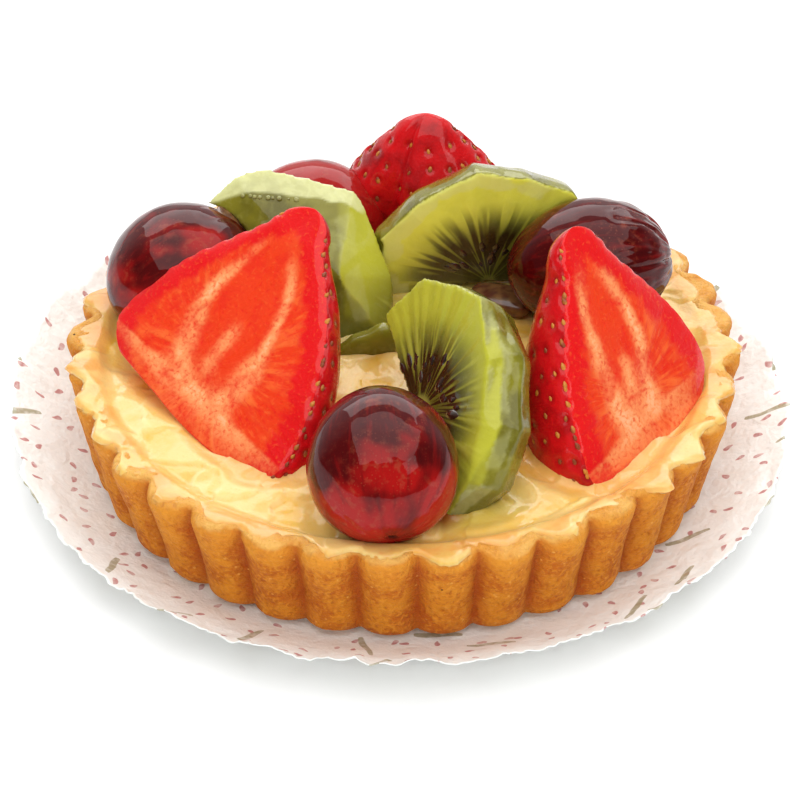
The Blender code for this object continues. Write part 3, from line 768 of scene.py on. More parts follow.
def makeBerry(name, plan, material):
    length = (Vector(plan["tip"]) - Vector(plan["stem"])).length
    place = fruitPlace(-Vector(plan["face"]), Vector(plan["tip"]) - Vector(plan["stem"]), plan["stem"])
    deselect()
    bpy.ops.mesh.primitive_uv_sphere_add(segments=berryLook["segments"], ring_count=berryLook["rings"], radius=1)
    piece = bpy.context.active_object
    piece.name = piece.data.name = name.replace("_", "") + "Flesh"
    ball = readPlaces(piece.data)
    around = np.arctan2(ball[:, 1], ball[:, 0]) % math.tau
    up = 1 - np.arccos(np.clip(ball[:, 2], -1, 1)) / math.pi
    local, share, width = berryShape(around, up, plan, length)
    # the berry's own unevenness
    thin = np.minimum(width / 0.004, 1)
    local[:, 0] += millimetre * thin * (0.35 * lumps(local, 0.009, 2) + 0.12 * lumps(local, 0.0035, 4))
    local[:, 1] += millimetre * thin * (0.25 * lumps(local, 0.006, 3) + 0.08 * lumps(local, 0.003, 5))
    writePlaces(piece.data, moved(local, place))
    piece.modifiers.new("soften", "SMOOTH").iterations = 3
    applyAll(piece)
    # seeds lie in dimples of the skin
    places, normals = readPlaces(piece.data), readPlaces(piece.data, "normal")
    tree = kdtree.KDTree(len(places))
    for index, point in enumerate(places):
        tree.insert(point, index)
    tree.balance()
    seedVertices = []
    for spotAround, spotUp in berrySeeds(name, plan, length):
        spot = berryShape(np.array([spotAround]), np.array([spotUp]), plan, length)[0]
        seedVertices.append(tree.find(moved(spot, place)[0])[1])
    dimple = np.zeros(len(places))
    radius = berryLook["dimpleRadius"]
    for index in seedVertices:
        for _, near, distance in tree.find_range(places[index], 3 * radius):
            dimple[near] = max(dimple[near], math.exp(-((distance / radius) ** 2)))
    onSkin = ramp(ball[:, 1], -0.03, 0.03)
    atEdge = np.exp(-((np.sin(around) / 0.22) ** 2)) * (share < 0.98)
    depth = dimple * (berryLook["dimpleDepth"] + (berryLook["notchDepth"] - berryLook["dimpleDepth"]) * atEdge) * np.maximum(onSkin, 0.6)
    writePlaces(piece.data, places - normals * depth[:, None])
    # what the material reads
    sideways = local[:, 0] - plan["coreShift"] + 0.0011 * lumps(local, 0.007, 5) + 0.0004 * lumps(local, 0.0028, 6)
    gap = coreGap(sideways, share, plan, length)
    armWidth = 0.0012 + 0.0010 * ramp(share, 0.6, 0.15)
    arms = np.exp(-((gap / armWidth) ** 2)) * ramp(share, plan["coreTo"] + 0.02, plan["coreTo"] - 0.30)
    middle = 0.9 * np.exp(-((sideways / 0.0016) ** 2)) * ramp(share, 0.50, 0.34) * ramp(share, 0.12, 0.26)
    inStem = 1 - ramp(np.abs(local[:, 0]), 0.5 * plan["halfWidth"], 0.95 * plan["halfWidth"])
    stem = plan["paleStem"] * ramp(share + 0.03 * lumps(local, 0.004, 9), 0.13, 0.02) * inStem
    leftLap, rightLap = (math.radians(lap) for lap in plan["laps"])
    edges = np.stack([width * math.cos(rightLap) - local[:, 0], local[:, 0] + width * math.cos(leftLap), (1 - share) * length])
    fromMiddle = np.stack([local[:, 0], local[:, 2] - 0.25 * length], axis=1)
    angle = np.arctan2(fromMiddle[:, 0], fromMiddle[:, 1])
    mark(piece, "fibre", np.stack([6.5 * np.cos(angle), 6.5 * np.sin(angle), np.hypot(*fromMiddle.T) / 0.007], axis=1))
    mark(piece, "fibreShare", ramp(gap, -0.0015, 0.003))
    mark(piece, "rimRed", ramp(edges.min(axis=0), 0.0068, 0.0012))
    mark(piece, "pale", np.clip(arms + middle + stem, 0, 1.5))
    closing = ramp(up, berryLook["stemShare"] * 0.9, berryLook["stemShare"] * 1.1)
    mark(piece, "cutFace", (1 - ramp(ball[:, 1], -0.05, 0.0)) * closing + 1 - closing)
    # the dimples are also darkened as painted shade
    mark(piece, "dimple", dimple * onSkin)
    # painted shade on the skin that faces down
    mark(piece, "underside", 0.8 * ramp(normals[:, 2], 0.15, -0.35))
    finishPiece(piece, material, [name])
    # a seed's long way points to the tip, its flat way out of the skin
    dice = random.Random(name)
    matrices = []
    tipward = place.to_3x3() @ Vector((0, 0, 1))
    for index in seedVertices:
        out = Vector(normals[index])
        along = (tipward - tipward.dot(out) * out).normalized()
        turn = Matrix((along.cross(out), out, along)).transposed().to_4x4()
        sink = Vector(places[index]) - out * (berryLook["dimpleDepth"] - 0.00004)
        twist = Matrix.Rotation(dice.uniform(-0.35, 0.35), 4, "Y")
        matrices.append(Matrix.Translation(sink) @ turn @ twist @ Matrix.Scale(dice.uniform(0.75, 1.15), 4))
    return matrices


def makeSeedTemplate(half):
    deselect()
    bpy.ops.mesh.primitive_uv_sphere_add(segments=8, ring_count=6, radius=1)
    piece = bpy.context.active_object

    def drop(places):  # pointed at its upper end
        places = places * half
        places[:, :2] *= (1 - 0.45 * ramp(places[:, 2], 0, half[2]))[:, None]
        return places

    sculpt(piece, drop)
    return piece


def makeBerries():
    material = makeBerryMaterial()
    matrices = []
    for name, plan in berries.items():
        matrices += makeBerry(name, plan, material)
    seeds = scattered("strawberrySeeds", makeSeedTemplate(berryLook["seedHalf"]), matrices)
    finishPiece(seeds, makeSeedMaterial())


makeBerries()
print("strawberries done")


# ---- grapes

# middle, long axis, and half length, width and height, as in the solids; wrinkles: how wrinkled the skin is
# glowSide: painted light, each grape redder towards this side and darker opposite; ripeness: the grape's own overall
# tone
grapes = {
    "grape_front": {"middle": (-0.0029, -0.0365, 0.0245), "axis": (0.10, -0.80, -0.45), "half": (0.0114, 0.0108, 0.0101),
                    "wrinkles": 0.15, "glowSide": (0.45, -0.35, -0.75), "ripeness": 0.45},
    "grape_left": {"middle": (-0.0336, 0.0120, 0.0228), "axis": (0.80, 0.55, 0.05), "half": (0.0120, 0.0112, 0.0108),
                   "wrinkles": 0.2, "glowSide": (0.3, -0.5, -0.4), "ripeness": 0.50},
    "grape_back": {"middle": (-0.0140, 0.0290, 0.0206), "axis": (0.95, 0.10, -0.20), "half": (0.0117, 0.0102, 0.0100),
                   "wrinkles": 0.3, "glowSide": (0.0, -0.7, 0.6), "ripeness": 0.65},
    "grape_right": {"middle": (0.0280, 0.0108, 0.0257), "axis": (0.97, 0.15, 0.05), "half": (0.0124, 0.0100, 0.0099),
                    "wrinkles": 1.0, "glowSide": (0.6, -0.4, -0.3), "ripeness": -0.05},
}
grapeLook = {
    "taper": 0.05,
    "scarDepth": 0.0004,
    "skin": (0.070, 0.0025, 0.003),
    "redder": (0.36, 0.007, 0.006),
    "darkest": (0.022, 0.002, 0.003),
    "freckle": (0.34, 0.075, 0.035),
}


def makeGrapeMaterial():
    constants = {"Roughness": 0.30, "Specular IOR Level": 0.0, "Coat Weight": 1.0, "Coat Roughness": 0.02, "Coat IOR": 1.33,
                 "Subsurface Weight": 0.05, "Subsurface Radius": (0.004, 0.0005, 0.0004), "Subsurface Scale": 1.0}
    material, tree, shader = newMaterial("redGrape", constants)
    place = objectPlace(tree)
    streaks = cloud(tree, attribute(tree, "meridian", "Vector"), 1.0, 3.0, 0.3)
    patches = cloud(tree, place, 0.007, 2.0)
    # painted light: redder on the glow side and darker opposite, over the grape's own tone and random patches
    ripeAndGlow = sums(tree, "ADD", attribute(tree, "ripeAndGlow"), between(tree, patches, 0.3, 0.7, -0.35, 0.35))
    colour = blended(tree, between(tree, ripeAndGlow, 0.2, 0.8), grapeLook["skin"], grapeLook["redder"])
    colour = blended(tree, between(tree, streaks, 0.5, 0.72, 0.0, 0.25), colour, grapeLook["redder"])
    colour = blended(tree, between(tree, streaks, 0.44, 0.26, 0.0, 0.35), colour, grapeLook["darkest"])
    freckles = useGroup(tree, specks, {"Place": place, "Cell size": 0.0005, "Speck size": 0.30, "Share": 0.5})
    colour = blended(tree, sums(tree, "MULTIPLY", freckles["Mask"], between(tree, patches, 0.4, 0.6, 0.05, 0.28)), colour, grapeLook["freckle"])
    bloom = sums(tree, "MULTIPLY", between(tree, cloud(tree, place, 0.0011, 3.0), 0.5, 0.72), between(tree, patches, 0.42, 0.62, 0.05, 0.35))
    colour = blended(tree, bloom, colour, grapeLook["freckle"])
    colour = blended(tree, attribute(tree, "scar"), colour, grapeLook["darkest"])
    feed(tree, colour, shader.inputs["Base Color"])
    bumped(tree, shader, cloud(tree, place, 0.0025, 2.0), 0.00025, 0.35)
    return material


def makeGrape(name, plan, material):
    deselect()
    bpy.ops.mesh.primitive_uv_sphere_add(segments=168, ring_count=110, radius=1)
    piece = bpy.context.active_object
    piece.name = piece.data.name = name.replace("_", "") + "Skin"
    ball = readPlaces(piece.data)
    taper = 1 + grapeLook["taper"] * ball[:, 2]
    halfLength, halfWidth, halfHeight = plan["half"]
    local = np.stack([ball[:, 0] * halfWidth * taper, ball[:, 1] * halfHeight * taper, ball[:, 2] * halfLength], axis=1)
    around, tilt = np.arctan2(ball[:, 1], ball[:, 0]), np.arccos(np.clip(ball[:, 2], -1, 1))
    swell = 0.26 * lumps(local, 0.010, 3) + 0.11 * lumps(local, 0.0040, 4) + 0.028 * lumps(local, 0.0016, 5) + 0.010 * lumps(local, 0.0009, 6)
    meridians = np.stack([3 * np.cos(around), 3 * np.sin(around), 1.3 * ball[:, 2]], axis=1)
    folds = np.abs(lumps(meridians, 1.0, 6))
    finer = np.abs(lumps(meridians, 0.45, 9)) + 0.5 * np.abs(lumps(local, 0.0022, 8))
    swell -= plan["wrinkles"] * ramp(ball[:, 2], 0.0, 0.7) * (0.42 * (1 - ramp(folds, 0.0, 0.2)) - 0.28 * finer)
    scar = np.exp(-((tilt / 0.06) ** 2))
    dip = np.exp(-((tilt / 0.22) ** 2)) * 0.25
    local += local / np.linalg.norm(local, axis=1)[:, None] * (millimetre * (swell - dip) - grapeLook["scarDepth"] * scar)[:, None]
    place = fruitPlace((0, 0, 1), plan["axis"], plan["middle"])
    writePlaces(piece.data, moved(local, place))
    mark(piece, "meridian", np.stack([9 * np.cos(around) * np.sin(tilt) ** 0.3, 9 * np.sin(around) * np.sin(tilt) ** 0.3, 1.5 * ball[:, 2]], axis=1))
    mark(piece, "scar", scar)
    # painted light towards the glow side
    towards = np.array(Vector(plan["glowSide"]).normalized())
    mark(piece, "ripeAndGlow", plan["ripeness"] + 0.45 * readPlaces(piece.data, "normal") @ towards)
    finishPiece(piece, material, [name])


def makeGrapes():
    material = makeGrapeMaterial()
    for name, plan in grapes.items():
        makeGrape(name, plan, material)


makeGrapes()
print("grapes done")


# ---- kiwi

# core: middle of the seed ring on the face, face: where the face looks, both as in the solids
# dark: how dark it is round the seeds, lit: how much light comes through, band: width of the painted highlight along
# the wet edge on the face and beside it, raysRound: more makes finer rays
kiwis = {
    "kiwi_front": {"core": (0.0024, -0.0218, 0.0229), "face": (-0.785, -0.366, 0.50), "coreRadius": 0.0016, "darkTo": 0.0118,
                   "dark": 1.6, "lit": 0.0, "band": (0.0, 0.0016), "raysRound": 12.0},
    "kiwi_right": {"core": (0.0131, 0.0165, 0.0185), "face": (0.13, -0.99, -0.02), "coreRadius": 0.0004, "darkTo": 0.0130,
                   "dark": 1.5, "lit": 0.85, "band": (0.0024, 0.0), "raysRound": 8.0},
    "kiwi_left": {"core": (-0.0020, 0.0100, 0.0100), "face": (0.93, -0.20, 0.30), "coreRadius": 0.0030, "darkTo": 0.0080,
                  "dark": 0.2, "lit": 0.0, "band": (0.0, 0.0), "raysRound": 7.0},
}
kiwiLook = {
    "voxel": 0.00040,
    "flesh": (0.25, 0.245, 0.026),
    "faceEdge": (0.50, 0.495, 0.042),
    "outerDark": (0.145, 0.130, 0.012),
    "outerBright": (0.235, 0.215, 0.017),
    "paleGreen": (0.50, 0.50, 0.12),
    "litGreen": (0.84, 0.83, 0.10),
    "gleam": (0.74, 0.75, 0.36),
    # dark green between the rays, and painted shade low on the pieces
    "deep": (0.130, 0.125, 0.022),
    "core": (0.42, 0.38, 0.09),
    "shadowed": (0.036, 0.019, 0.005),
    "ray": (0.50, 0.49, 0.075),
    "topLine": (0.0181, 0.0677, -0.0233),  # the left piece has a painted wet highlight behind this line: y, slope and x
    "stripe": (-0.0093, 0.25, 0.0325, 0.0011),  # a painted highlight streak down its right side: x, slope, height and half width
    "seed": (0.020, 0.009, 0.005),
    "brownSeed": (0.05, 0.020, 0.010),
    "seedHalf": (0.00078, 0.00040, 0.00155),
}


def makeKiwiMaterial():
    constants = {"Roughness": 0.26, "Specular IOR Level": 0.1, "Coat Weight": 1.0, "Coat Roughness": 0.025, "Coat IOR": 1.38,
                 "Subsurface Weight": 0.15, "Subsurface Radius": (0.003, 0.003, 0.0006), "Subsurface Scale": 1.0}
    material, tree, shader = newMaterial("kiwiFlesh", constants)
    place = objectPlace(tree)
    rays = attribute(tree, "ray", "Vector")
    streak = cloud(tree, rays, 1.0, 1.0, 0.2)
    patches = cloud(tree, place, 0.008, 3.0, 0.4)
    veins = cloud(tree, place, 0.0014, 3.0, 0.3)
    outer = blended(tree, between(tree, patches, 0.36, 0.62), kiwiLook["outerBright"], kiwiLook["outerDark"])
    outer = blended(tree, between(tree, veins, 0.5, 0.8, 0.0, 0.2), outer, kiwiLook["paleGreen"])
    face = blended(tree, attribute(tree, "outwards"), kiwiLook["flesh"], kiwiLook["faceEdge"])
    face = blended(tree, sums(tree, "MULTIPLY", attribute(tree, "lit"), between(tree, patches, 0.3, 0.6, 0.7, 1.0)), face, kiwiLook["litGreen"])
    gaps = between(tree, streak, 0.60, 0.46)
    face = blended(tree, sums(tree, "MULTIPLY", gaps, attribute(tree, "darkness"), True), face, kiwiLook["deep"])
    deepest = sums(tree, "MULTIPLY", between(tree, streak, 0.64, 0.40, 0.30, 1.0), attribute(tree, "seedRing"))
    face = blended(tree, sums(tree, "MULTIPLY", deepest, 1.0, True), face, kiwiLook["shadowed"])
    light = sums(tree, "MULTIPLY", between(tree, streak, 0.52, 0.68), attribute(tree, "rayReach"))
    face = blended(tree, sums(tree, "MULTIPLY", light, 0.5, True), face, kiwiLook["ray"])
    face = blended(tree, attribute(tree, "core"), face, kiwiLook["core"])
    colour = blended(tree, attribute(tree, "kiwiFace"), outer, face)
    # painted shade: darker towards the bottom of each piece
    colour = blended(tree, attribute(tree, "low"), colour, kiwiLook["deep"])
    # painted highlight on surfaces that face up
    colour = blended(tree, attribute(tree, "upFacingHighlight"), colour, kiwiLook["paleGreen"])
    # painted highlight on the wet glaze
    shine = sums(tree, "MULTIPLY", attribute(tree, "gleam"), between(tree, veins, 0.3, 0.6, 0.85, 1.0))
    colour = blended(tree, shine, colour, kiwiLook["gleam"])
    feed(tree, colour, shader.inputs["Base Color"])
    feed(tree, between(tree, veins, 0.3, 0.7, 0.18, 0.34), shader.inputs["Roughness"])
    relief = sums(tree, "ADD", sums(tree, "MULTIPLY", veins, 0.5), sums(tree, "MULTIPLY", streak, attribute(tree, "kiwiFace")))
    bumped(tree, shader, relief, 0.00035, 0.45)
    return material


def softCopy(nodeName, name, voxel, rounds):  # a fine, soft-edged copy of a solid
    piece = bpy.data.objects.new(name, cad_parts[nodeName].data.copy())
    bpy.context.scene.collection.objects.link(piece)
    pick(piece)
    bpy.ops.object.mode_set(mode="EDIT")
    bpy.ops.mesh.select_mode(type="VERT")
    bpy.ops.mesh.select_all(action="SELECT")
    bpy.ops.mesh.remove_doubles(threshold=1e-6)
    bpy.ops.object.mode_set(mode="OBJECT")
    remesh = piece.modifiers.new("fine", "REMESH")
    remesh.mode = "VOXEL"
    remesh.voxel_size = voxel
    soften = piece.modifiers.new("soften", "SMOOTH")
    soften.iterations = rounds
    applyAll(piece)
    return piece


def aroundCore(places, place):
    local = moved(places, place.inverted())
    return local, np.arctan2(local[:, 1], local[:, 0]), np.hypot(local[:, 0], local[:, 1])


def wetHighlights(name, plan, places, onFace, radius):  # painted highlights where the glaze lies thick and wet
    if name == "kiwi_left":
        y, slope, x = kiwiLook["topLine"]
        behindLine = places[:, 1] - y + slope * (places[:, 0] - x) + 0.0004 * lumps(places, 0.002, 12)
        top = ramp(behindLine, 0.0, 0.0004) * ramp(places[:, 2], 0.0300, 0.0312)
        stripeX, slope, height, half = kiwiLook["stripe"]
        offStripe = np.abs(places[:, 0] - stripeX - slope * (height - places[:, 2])) + 0.0003 * lumps(places, 0.0025, 13)
        stripe = ramp(offStripe, half + 0.0002, half - 0.0001) * ramp(places[:, 2], 0.0200, 0.0206) * ramp(places[:, 2], 0.0316, 0.0311)
        stripe *= ramp(np.abs(places[:, 2] - 0.0272), 0.0003, 0.0006) * (places[:, 1] < 0.018)
        return np.maximum(0.85 * top, 0.15 * stripe)
    rim = places[(onFace > 0.3) & (onFace < 0.7)]
    tree = kdtree.KDTree(len(rim))
    for index, point in enumerate(rim):
        tree.insert(point, index)
    tree.balance()
    toRim = np.array([tree.find(point)[2] for point in places])
    width = np.where(onFace > 0.5, *plan["band"]) * (1 + 0.5 * lumps(places, 0.006, 14))
    patchy = ramp(lumps(places, 0.0050, 15), -0.35, -0.20)
    strength = 0.35 if plan["lit"] > 0.5 else 0.20
    return strength * ramp(toRim, width + 0.00015, width - 0.00015) * patchy * ramp(radius, 0.010, 0.012) * (width > 0.0002)


def makeKiwi(name, plan, material):
    piece = softCopy(name, name.replace("_", "") + "Flesh", kiwiLook["voxel"], 4)
    place = fruitPlace((0, 0, 1), plan["face"], plan["core"])
    towards = np.array(place.to_3x3() @ Vector((0, 0, 1)))
    _, angle, radius = aroundCore(readPlaces(piece.data), place)
    fineness = plan["raysRound"]
    spokes = np.stack([fineness * np.cos(angle), fineness * np.sin(angle), radius / 0.011], axis=1)

    def relief(places, normals):
        onFace = ramp(normals @ towards, 0.6, 0.9)
        ridges = 0.12 * lumps(spokes, 1.0, 2) * ramp(radius, 0.004, 0.007) * onFace
        broad = 0.34 * lumps(places, 0.0075, 3) + 0.16 * lumps(places, 0.0032, 4) + 0.04 * lumps(places, 0.0014, 5)
        return millimetre * (broad * (1 - 0.5 * onFace) + ridges)

    puff(piece, relief)
    places, normals = readPlaces(piece.data), readPlaces(piece.data, "normal")
    onFace = ramp(normals @ towards, 0.50, 0.80)
    coreRadius, darkTo = plan["coreRadius"], plan["darkTo"]
    mark(piece, "ray", spokes)
    mark(piece, "kiwiFace", onFace)
    mark(piece, "outwards", ramp(radius, 0.009, 0.0165))
    mark(piece, "darkness", ramp(radius, coreRadius, coreRadius + 0.0015) * ramp(radius, darkTo + 0.0025, darkTo - 0.003))
    mark(piece, "seedRing", plan["dark"] * ramp(radius, coreRadius, coreRadius + 0.0015) * ramp(radius, darkTo - 0.001, darkTo - 0.0055))
    mark(piece, "rayReach", (1 - 0.6 * plan["lit"]) * ramp(radius, 0.0045, 0.0095) * ramp(radius, 0.0170, 0.0125))
    mark(piece, "core", ramp(radius, coreRadius + 0.0010, coreRadius - 0.0004))
    # painted shade, darker towards the bottom, less on the face
    lowerShade = ramp(places[:, 2] + 0.001 * lumps(places, 0.005, 7), 0.0255, 0.0175)
    mark(piece, "low", 0.8 * lowerShade * (1 - 0.5 * onFace))
    # painted highlight on surfaces that face up
    mark(piece, "upFacingHighlight", 0.35 * ramp(normals[:, 2], 0.85, 0.97))
    mark(piece, "lit", plan["lit"] * ramp(radius, 0.0085, 0.0150))
    # painted highlights on the wet glaze
    mark(piece, "gleam", wetHighlights(name, plan, places, onFace, radius))
    finishPiece(piece, material, [name])


# fans of seeds on the two faces: bearings round the core, and how far out
kiwiFans = {
    "kiwi_front": {"bearings": (24, 168), "reach": (0.0048, 0.0088), "count": 19},
    "kiwi_right": {"bearings": (60, 165), "reach": (0.0030, 0.0070), "count": 9},
}


def makeKiwiSeeds():
    dice = random.Random(5)
    matrices = []
    for name, fan in kiwiFans.items():
        plan = kiwis[name]
        place = fruitPlace((0, 0, 1), plan["face"], plan["core"])
        first, last = fan["bearings"]
        for index in range(fan["count"]):
            bearing = math.radians(first + (last - first) * (index + dice.uniform(0.1, 0.9)) / fan["count"])
            radius = dice.uniform(*fan["reach"])
            spot = Vector((radius * math.cos(bearing), radius * math.sin(bearing), dice.uniform(-0.0003, -0.0001)))
            if surfaceOf(name).find_nearest(place @ spot)[3] > 0.0005:  # past the cut edge
                continue
            turn = Matrix.Rotation(bearing - math.pi / 2, 4, "Z") @ Matrix.Rotation(-math.pi / 2, 4, "X")
            matrices.append(place @ Matrix.Translation(spot) @ turn @ Matrix.Scale(dice.uniform(0.75, 1.15), 4))
    seeds = scattered("kiwiSeeds", makeSeedTemplate(kiwiLook["seedHalf"]), matrices)
    material, tree, shader = newMaterial("kiwiSeed", {"Roughness": 0.25, "Coat Weight": 1.0, "Coat Roughness": 0.05})
    tone = cloud(tree, objectPlace(tree), 0.004, 2.0)
    feed(tree, blended(tree, between(tree, tone, 0.4, 0.7), kiwiLook["seed"], kiwiLook["brownSeed"]), shader.inputs["Base Color"])
    finishPiece(seeds, material)


# a sliver of kiwi at the foot of the left piece, and set glaze where two fruits meet: middle, long axis, half sizes, and how wedge-shaped
slivers = {
    "kiwiSliver": {"middle": (-0.0057, -0.0008, 0.0190), "axis": (0.95, 0.05, 0.30), "half": (0.0049, 0.0016, 0.0021), "wedge": 0.75},
    "glazePool": {"middle": (0.0150, 0.0116, 0.0187), "axis": (1.0, -0.35, 0.0), "half": (0.0050, 0.0030, 0.0013), "wedge": 0.2},
    "glazeWeb": {"middle": (-0.0258, 0.0168, 0.0291), "axis": (0.75, 0.0, -0.66), "half": (0.0034, 0.0020, 0.0009), "wedge": 0.2},
}


def makeSliver(name, plan, material):
    deselect()
    bpy.ops.mesh.primitive_uv_sphere_add(segments=72, ring_count=40, radius=1)
    piece = bpy.context.active_object
    piece.name = piece.data.name = name
    ball = readPlaces(piece.data)
    length, width, height = plan["half"]
    flat = np.sign(ball) * np.abs(ball) ** 0.6  # squarer than an egg
    swell = 1 + plan["wedge"] * ball[:, 2]
    local = np.stack([flat[:, 0] * width, flat[:, 1] * height * swell, flat[:, 2] * length], axis=1)
    local += millimetre * np.stack([0.2 * lumps(local, 0.003, 1), 0.15 * lumps(local, 0.002, 2), 0.2 * lumps(local, 0.003, 3)], axis=1)
    writePlaces(piece.data, moved(local, fruitPlace((0, 0, 1), plan["axis"], plan["middle"])))
    mark(piece, "lit", np.full(len(ball), 0.4))
    return finishPiece(piece, material)


def makeGlazeMaterial():
    constants = {"Roughness": 0.25, "Coat Weight": 1.0, "Coat Roughness": 0.03, "Coat IOR": 1.38,
                 "Subsurface Weight": 0.2, "Subsurface Radius": (0.003, 0.001, 0.0005), "Subsurface Scale": 1.0}
    material, tree, shader = newMaterial("amberGlaze", constants)
    tone = cloud(tree, objectPlace(tree), 0.002, 2.0)
    feed(tree, blended(tree, between(tree, tone, 0.35, 0.65), (0.11, 0.030, 0.016), (0.24, 0.11, 0.04)), shader.inputs["Base Color"])
    return material


bubbles = {
    "from": (-0.0246, 0.0176, 0.0338),
    "to": (-0.0165, 0.0172, 0.0330),
    "count": 9,
    "half": (0.00042, 0.00042, 0.00030),
}


def makeBubbles(material):  # small bubbles in the glaze, in a row below the wet top of the left piece
    dice = random.Random(11)
    surface = surfaceOf("kiwi_left")
    matrices = []
    for index in range(bubbles["count"]):
        share = (index + dice.uniform(-0.3, 0.3)) / (bubbles["count"] - 1)
        spot, out, _, _ = surface.find_nearest(Vector(bubbles["from"]).lerp(Vector(bubbles["to"]), share))
        turn = out.to_track_quat("Z", "Y").to_matrix().to_4x4()
        matrices.append(Matrix.Translation(spot + out * 0.00005) @ turn @ Matrix.Scale(dice.uniform(0.4, 1.1), 4))
    deselect()
    bpy.ops.mesh.primitive_uv_sphere_add(segments=10, ring_count=8, radius=1)
    template = bpy.context.active_object
    sculpt(template, lambda places: places * bubbles["half"] * (1 - 0.25 * np.abs(places[:, 2:])))
    piece = scattered("glazeBubbles", template, matrices)
    # painted highlight on the bubbles
    mark(piece, "gleam", np.full(len(piece.data.vertices), 0.3))
    finishPiece(piece, material)


def makeKiwis():
    material = makeKiwiMaterial()
    for name, plan in kiwis.items():
        makeKiwi(name, plan, material)
    makeKiwiSeeds()
    makeSliver("kiwiSliver", slivers["kiwiSliver"], material)
    glaze = makeGlazeMaterial()
    makeSliver("glazeWeb", slivers["glazeWeb"], glaze)
    makeSliver("glazePool", slivers["glazePool"], glaze)
    makeBubbles(material)


makeKiwis()
print("kiwi done")


# ---- paper case

paper = {
    "flatRadius": 0.0462,
    "edgeRadius": 0.0584,
    "edgeHeight": 0.0056,
    "waves": 28,
    "teeth": 212,
    "toothDepth": 0.00034,
    "lobe": (math.radians(-100), math.radians(34), 0.0019, 0.0022),  # bearing and width of the part that lies widest, reach and lift
    "thickness": 0.00016,
    "steps": 1060,
    "ringSpacing": 0.00062,
    "white": (0.955, 0.985, 0.955),
    "fleck": (0.56, 0.25, 0.24),
    "ribbon": (0.40, 0.36, 0.22),
}


def makePaperMaterial():
    material, tree, shader = newMaterial("printedPaper", {"Roughness": 0.75, "Specular IOR Level": 0.2})
    place = objectPlace(tree)
    blur = cloud(tree, place, 0.0012, 2.0)
    flecks = useGroup(tree, printedStrokes, {"Place": place, "Cell size": 0.0040, "Half length": 0.00078, "Half width": 0.00036,
                                             "Wave": 0.00005, "Lean": 0.45, "Taper": 0.6, "Share": 0.7})
    ribbons = useGroup(tree, printedStrokes, {"Place": place, "Cell size": 0.0125, "Half length": 0.0035, "Half width": 0.00048,
                                              "Wave": 0.00012, "Lean": 0.1, "Taper": 0.2, "Share": 0.75})
    colour = blended(tree, sums(tree, "MULTIPLY", flecks["Mask"], between(tree, blur, 0.3, 0.6, 0.55, 0.95)), paper["white"], paper["fleck"])
    colour = blended(tree, sums(tree, "MULTIPLY", ribbons["Mask"], between(tree, blur, 0.3, 0.6, 0.55, 0.9)), colour, paper["ribbon"])
    feed(tree, colour, shader.inputs["Base Color"])
    crinkle = sums(tree, "ADD", cloud(tree, place, 0.0034, 3.0, 0.5), sums(tree, "MULTIPLY", cloud(tree, place, 0.0008, 3.0), 0.35))
    bumped(tree, shader, crinkle, 0.0006, 0.8)
    return material


def makePaper():
    flat, edge = paper["flatRadius"], paper["edgeRadius"]
    profile = [(0, 0)] + alongProfile([(flat - 0.006, 0), (edge, 0)], paper["ringSpacing"])
    piece = spunPiece("paper", profile, paper["steps"])

    def cup(places):
        bearings, radii = bearingOf(places), np.hypot(places[:, 0], places[:, 1])
        sway = 0.5 * np.sin(bearings * 2 + 0.6) + 0.5 * np.sin(bearings * 3 + 2.1)
        ripple = np.sin(paper["waves"] * bearings + 1.5 * np.sin(5 * bearings))
        share = np.clip((radii - flat) / (edge - flat), 0, 1)
        pleats = roundNoise(bearings, 0.035, 2) + 0.6 * roundNoise(bearings, 0.014, 3)
        middle, width, reach, lift = paper["lobe"]
        lobe = np.exp(-(((bearings - middle) / width) ** 2))
        newRadii = radii + share * (0.0008 * sway + reach * lobe + 0.0004 * ripple * share)
        newRadii += share ** 4 * millimetre * (0.34 * roundNoise(bearings, 0.05, 5) + 0.26 * roundNoise(bearings, 0.016, 6))
        tooth = np.abs(bearings / math.tau * paper["teeth"] % 1 - 0.5) * 2 * (0.65 + 0.5 * roundNoise(bearings, 0.02, 9))
        newRadii -= share ** 12 * paper["toothDepth"] * tooth
        height = share ** 1.5 * (paper["edgeHeight"] + 0.0012 * sway + lift * lobe) + share ** 2 * 0.0007 * ripple
        creases = np.abs(lumps(places, 0.0085, 10)) + 0.6 * np.abs(lumps(places, 0.0040, 11))
        height += share * millimetre * (0.42 * pleats + 0.80 * creases + 0.15 * lumps(places, 0.0025, 8))
        height = np.maximum(height, 0) + 0.0002 * share ** 0.5
        return np.stack([newRadii * np.sin(bearings), -newRadii * np.cos(bearings), height], axis=1)

    sculpt(piece, cup)
    thick = piece.modifiers.new("thick", "SOLIDIFY")
    thick.thickness = paper["thickness"]
    thick.offset = 1.0
    applyAll(piece)
    return finishPiece(piece, makePaperMaterial(), ["paper_case"])


makePaper()
print("paper done")


# ---- camera, floor and lights

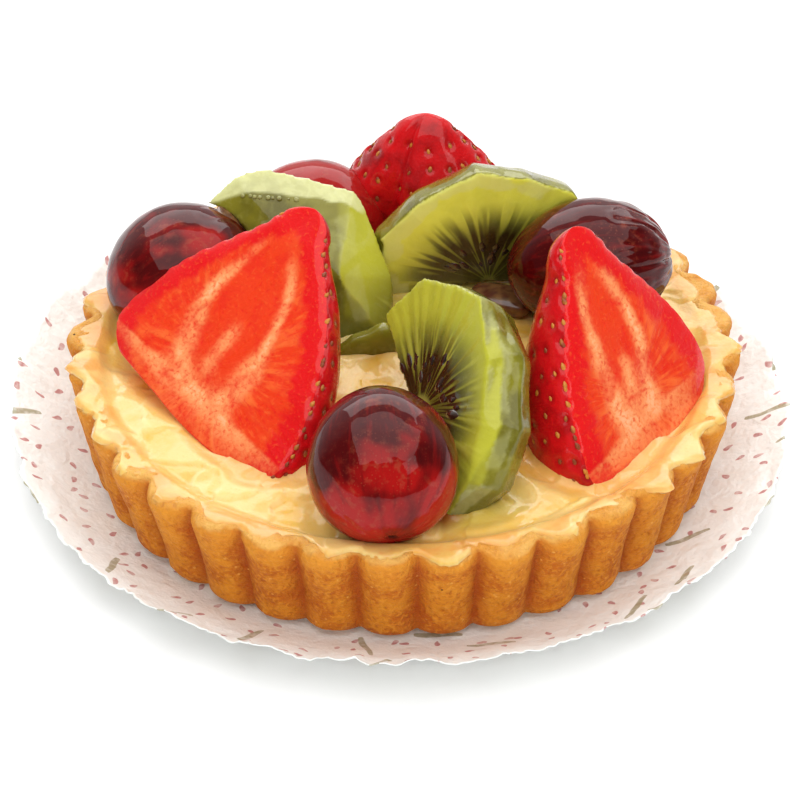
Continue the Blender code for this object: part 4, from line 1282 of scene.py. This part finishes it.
def makeStudio():
    deselect()
    bpy.ops.mesh.primitive_plane_add(size=6, location=(0, 0, -0.0002))
    floor = bpy.context.active_object
    floor.name = "floor"
    material, _, _ = newMaterial("whiteFloor", {"Base Color": (0.97, 0.965, 0.96, 1), "Roughness": 0.9, "Specular IOR Level": 0.1})
    floor.data.materials.append(material)
    # name: place, size, turn, power, and whether wet surfaces mirror it
    lights = {
        "overhead": ((0.10, -0.10, 0.85), (1.35, 1.05), (0, 0, 0), 7.8, True),
        "behind": ((0, 1.0, 0.75), (1.6, 0.7), (math.radians(-54), 0, 0), 8.5, True),
        "frontRight": ((0.85, -0.75, 0.75), (0.45, 0.45), (math.radians(52), 0, math.radians(48)), 1.2, True),
        "frontFill": ((-0.2, -1.3, 0.65), (1.8, 1.0), (math.radians(64), 0, math.radians(-9)), 11.2, False),
    }
    for name, (place, size, turn, power, mirrored) in lights.items():
        lamp = bpy.data.lights.new(name, "AREA")
        lamp.shape = "RECTANGLE"
        lamp.size, lamp.size_y = size
        lamp.energy = power
        stand = bpy.data.objects.new(name, lamp)
        stand.location, stand.rotation_euler = place, turn
        stand.visible_glossy = mirrored
        bpy.context.scene.collection.objects.link(stand)
    world = bpy.data.worlds.new("studio")
    world.use_nodes = True
    sky = world.node_tree.nodes["Background"]
    sky.inputs["Color"].default_value = (1, 1, 1, 1)
    # a white backdrop behind, and a darker room in front
    towards = node(world.node_tree, "ShaderNodeSeparateXYZ", {0: objectPlace(world.node_tree)}).outputs[1]
    feed(world.node_tree, between(world.node_tree, towards, 0.0, 0.7, 0.10, 0.75), sky.inputs["Strength"])
    bpy.context.scene.world = world
    bpy.context.scene.view_settings.view_transform = "Standard"
    lens = bpy.data.cameras.new("camera")
    lens.lens = 166.8
    lens.sensor_width = 36
    lens.shift_x, lens.shift_y = -0.00425, -0.0255
    lens.clip_start = 0.01
    camera = bpy.data.objects.new("camera", lens)
    camera.location = (0, -0.4478, 0.3482)
    camera.rotation_euler = (math.radians(53.1), 0, 0)
    bpy.context.scene.collection.objects.link(camera)
    bpy.context.scene.camera = camera


makeStudio()
print("studio done")
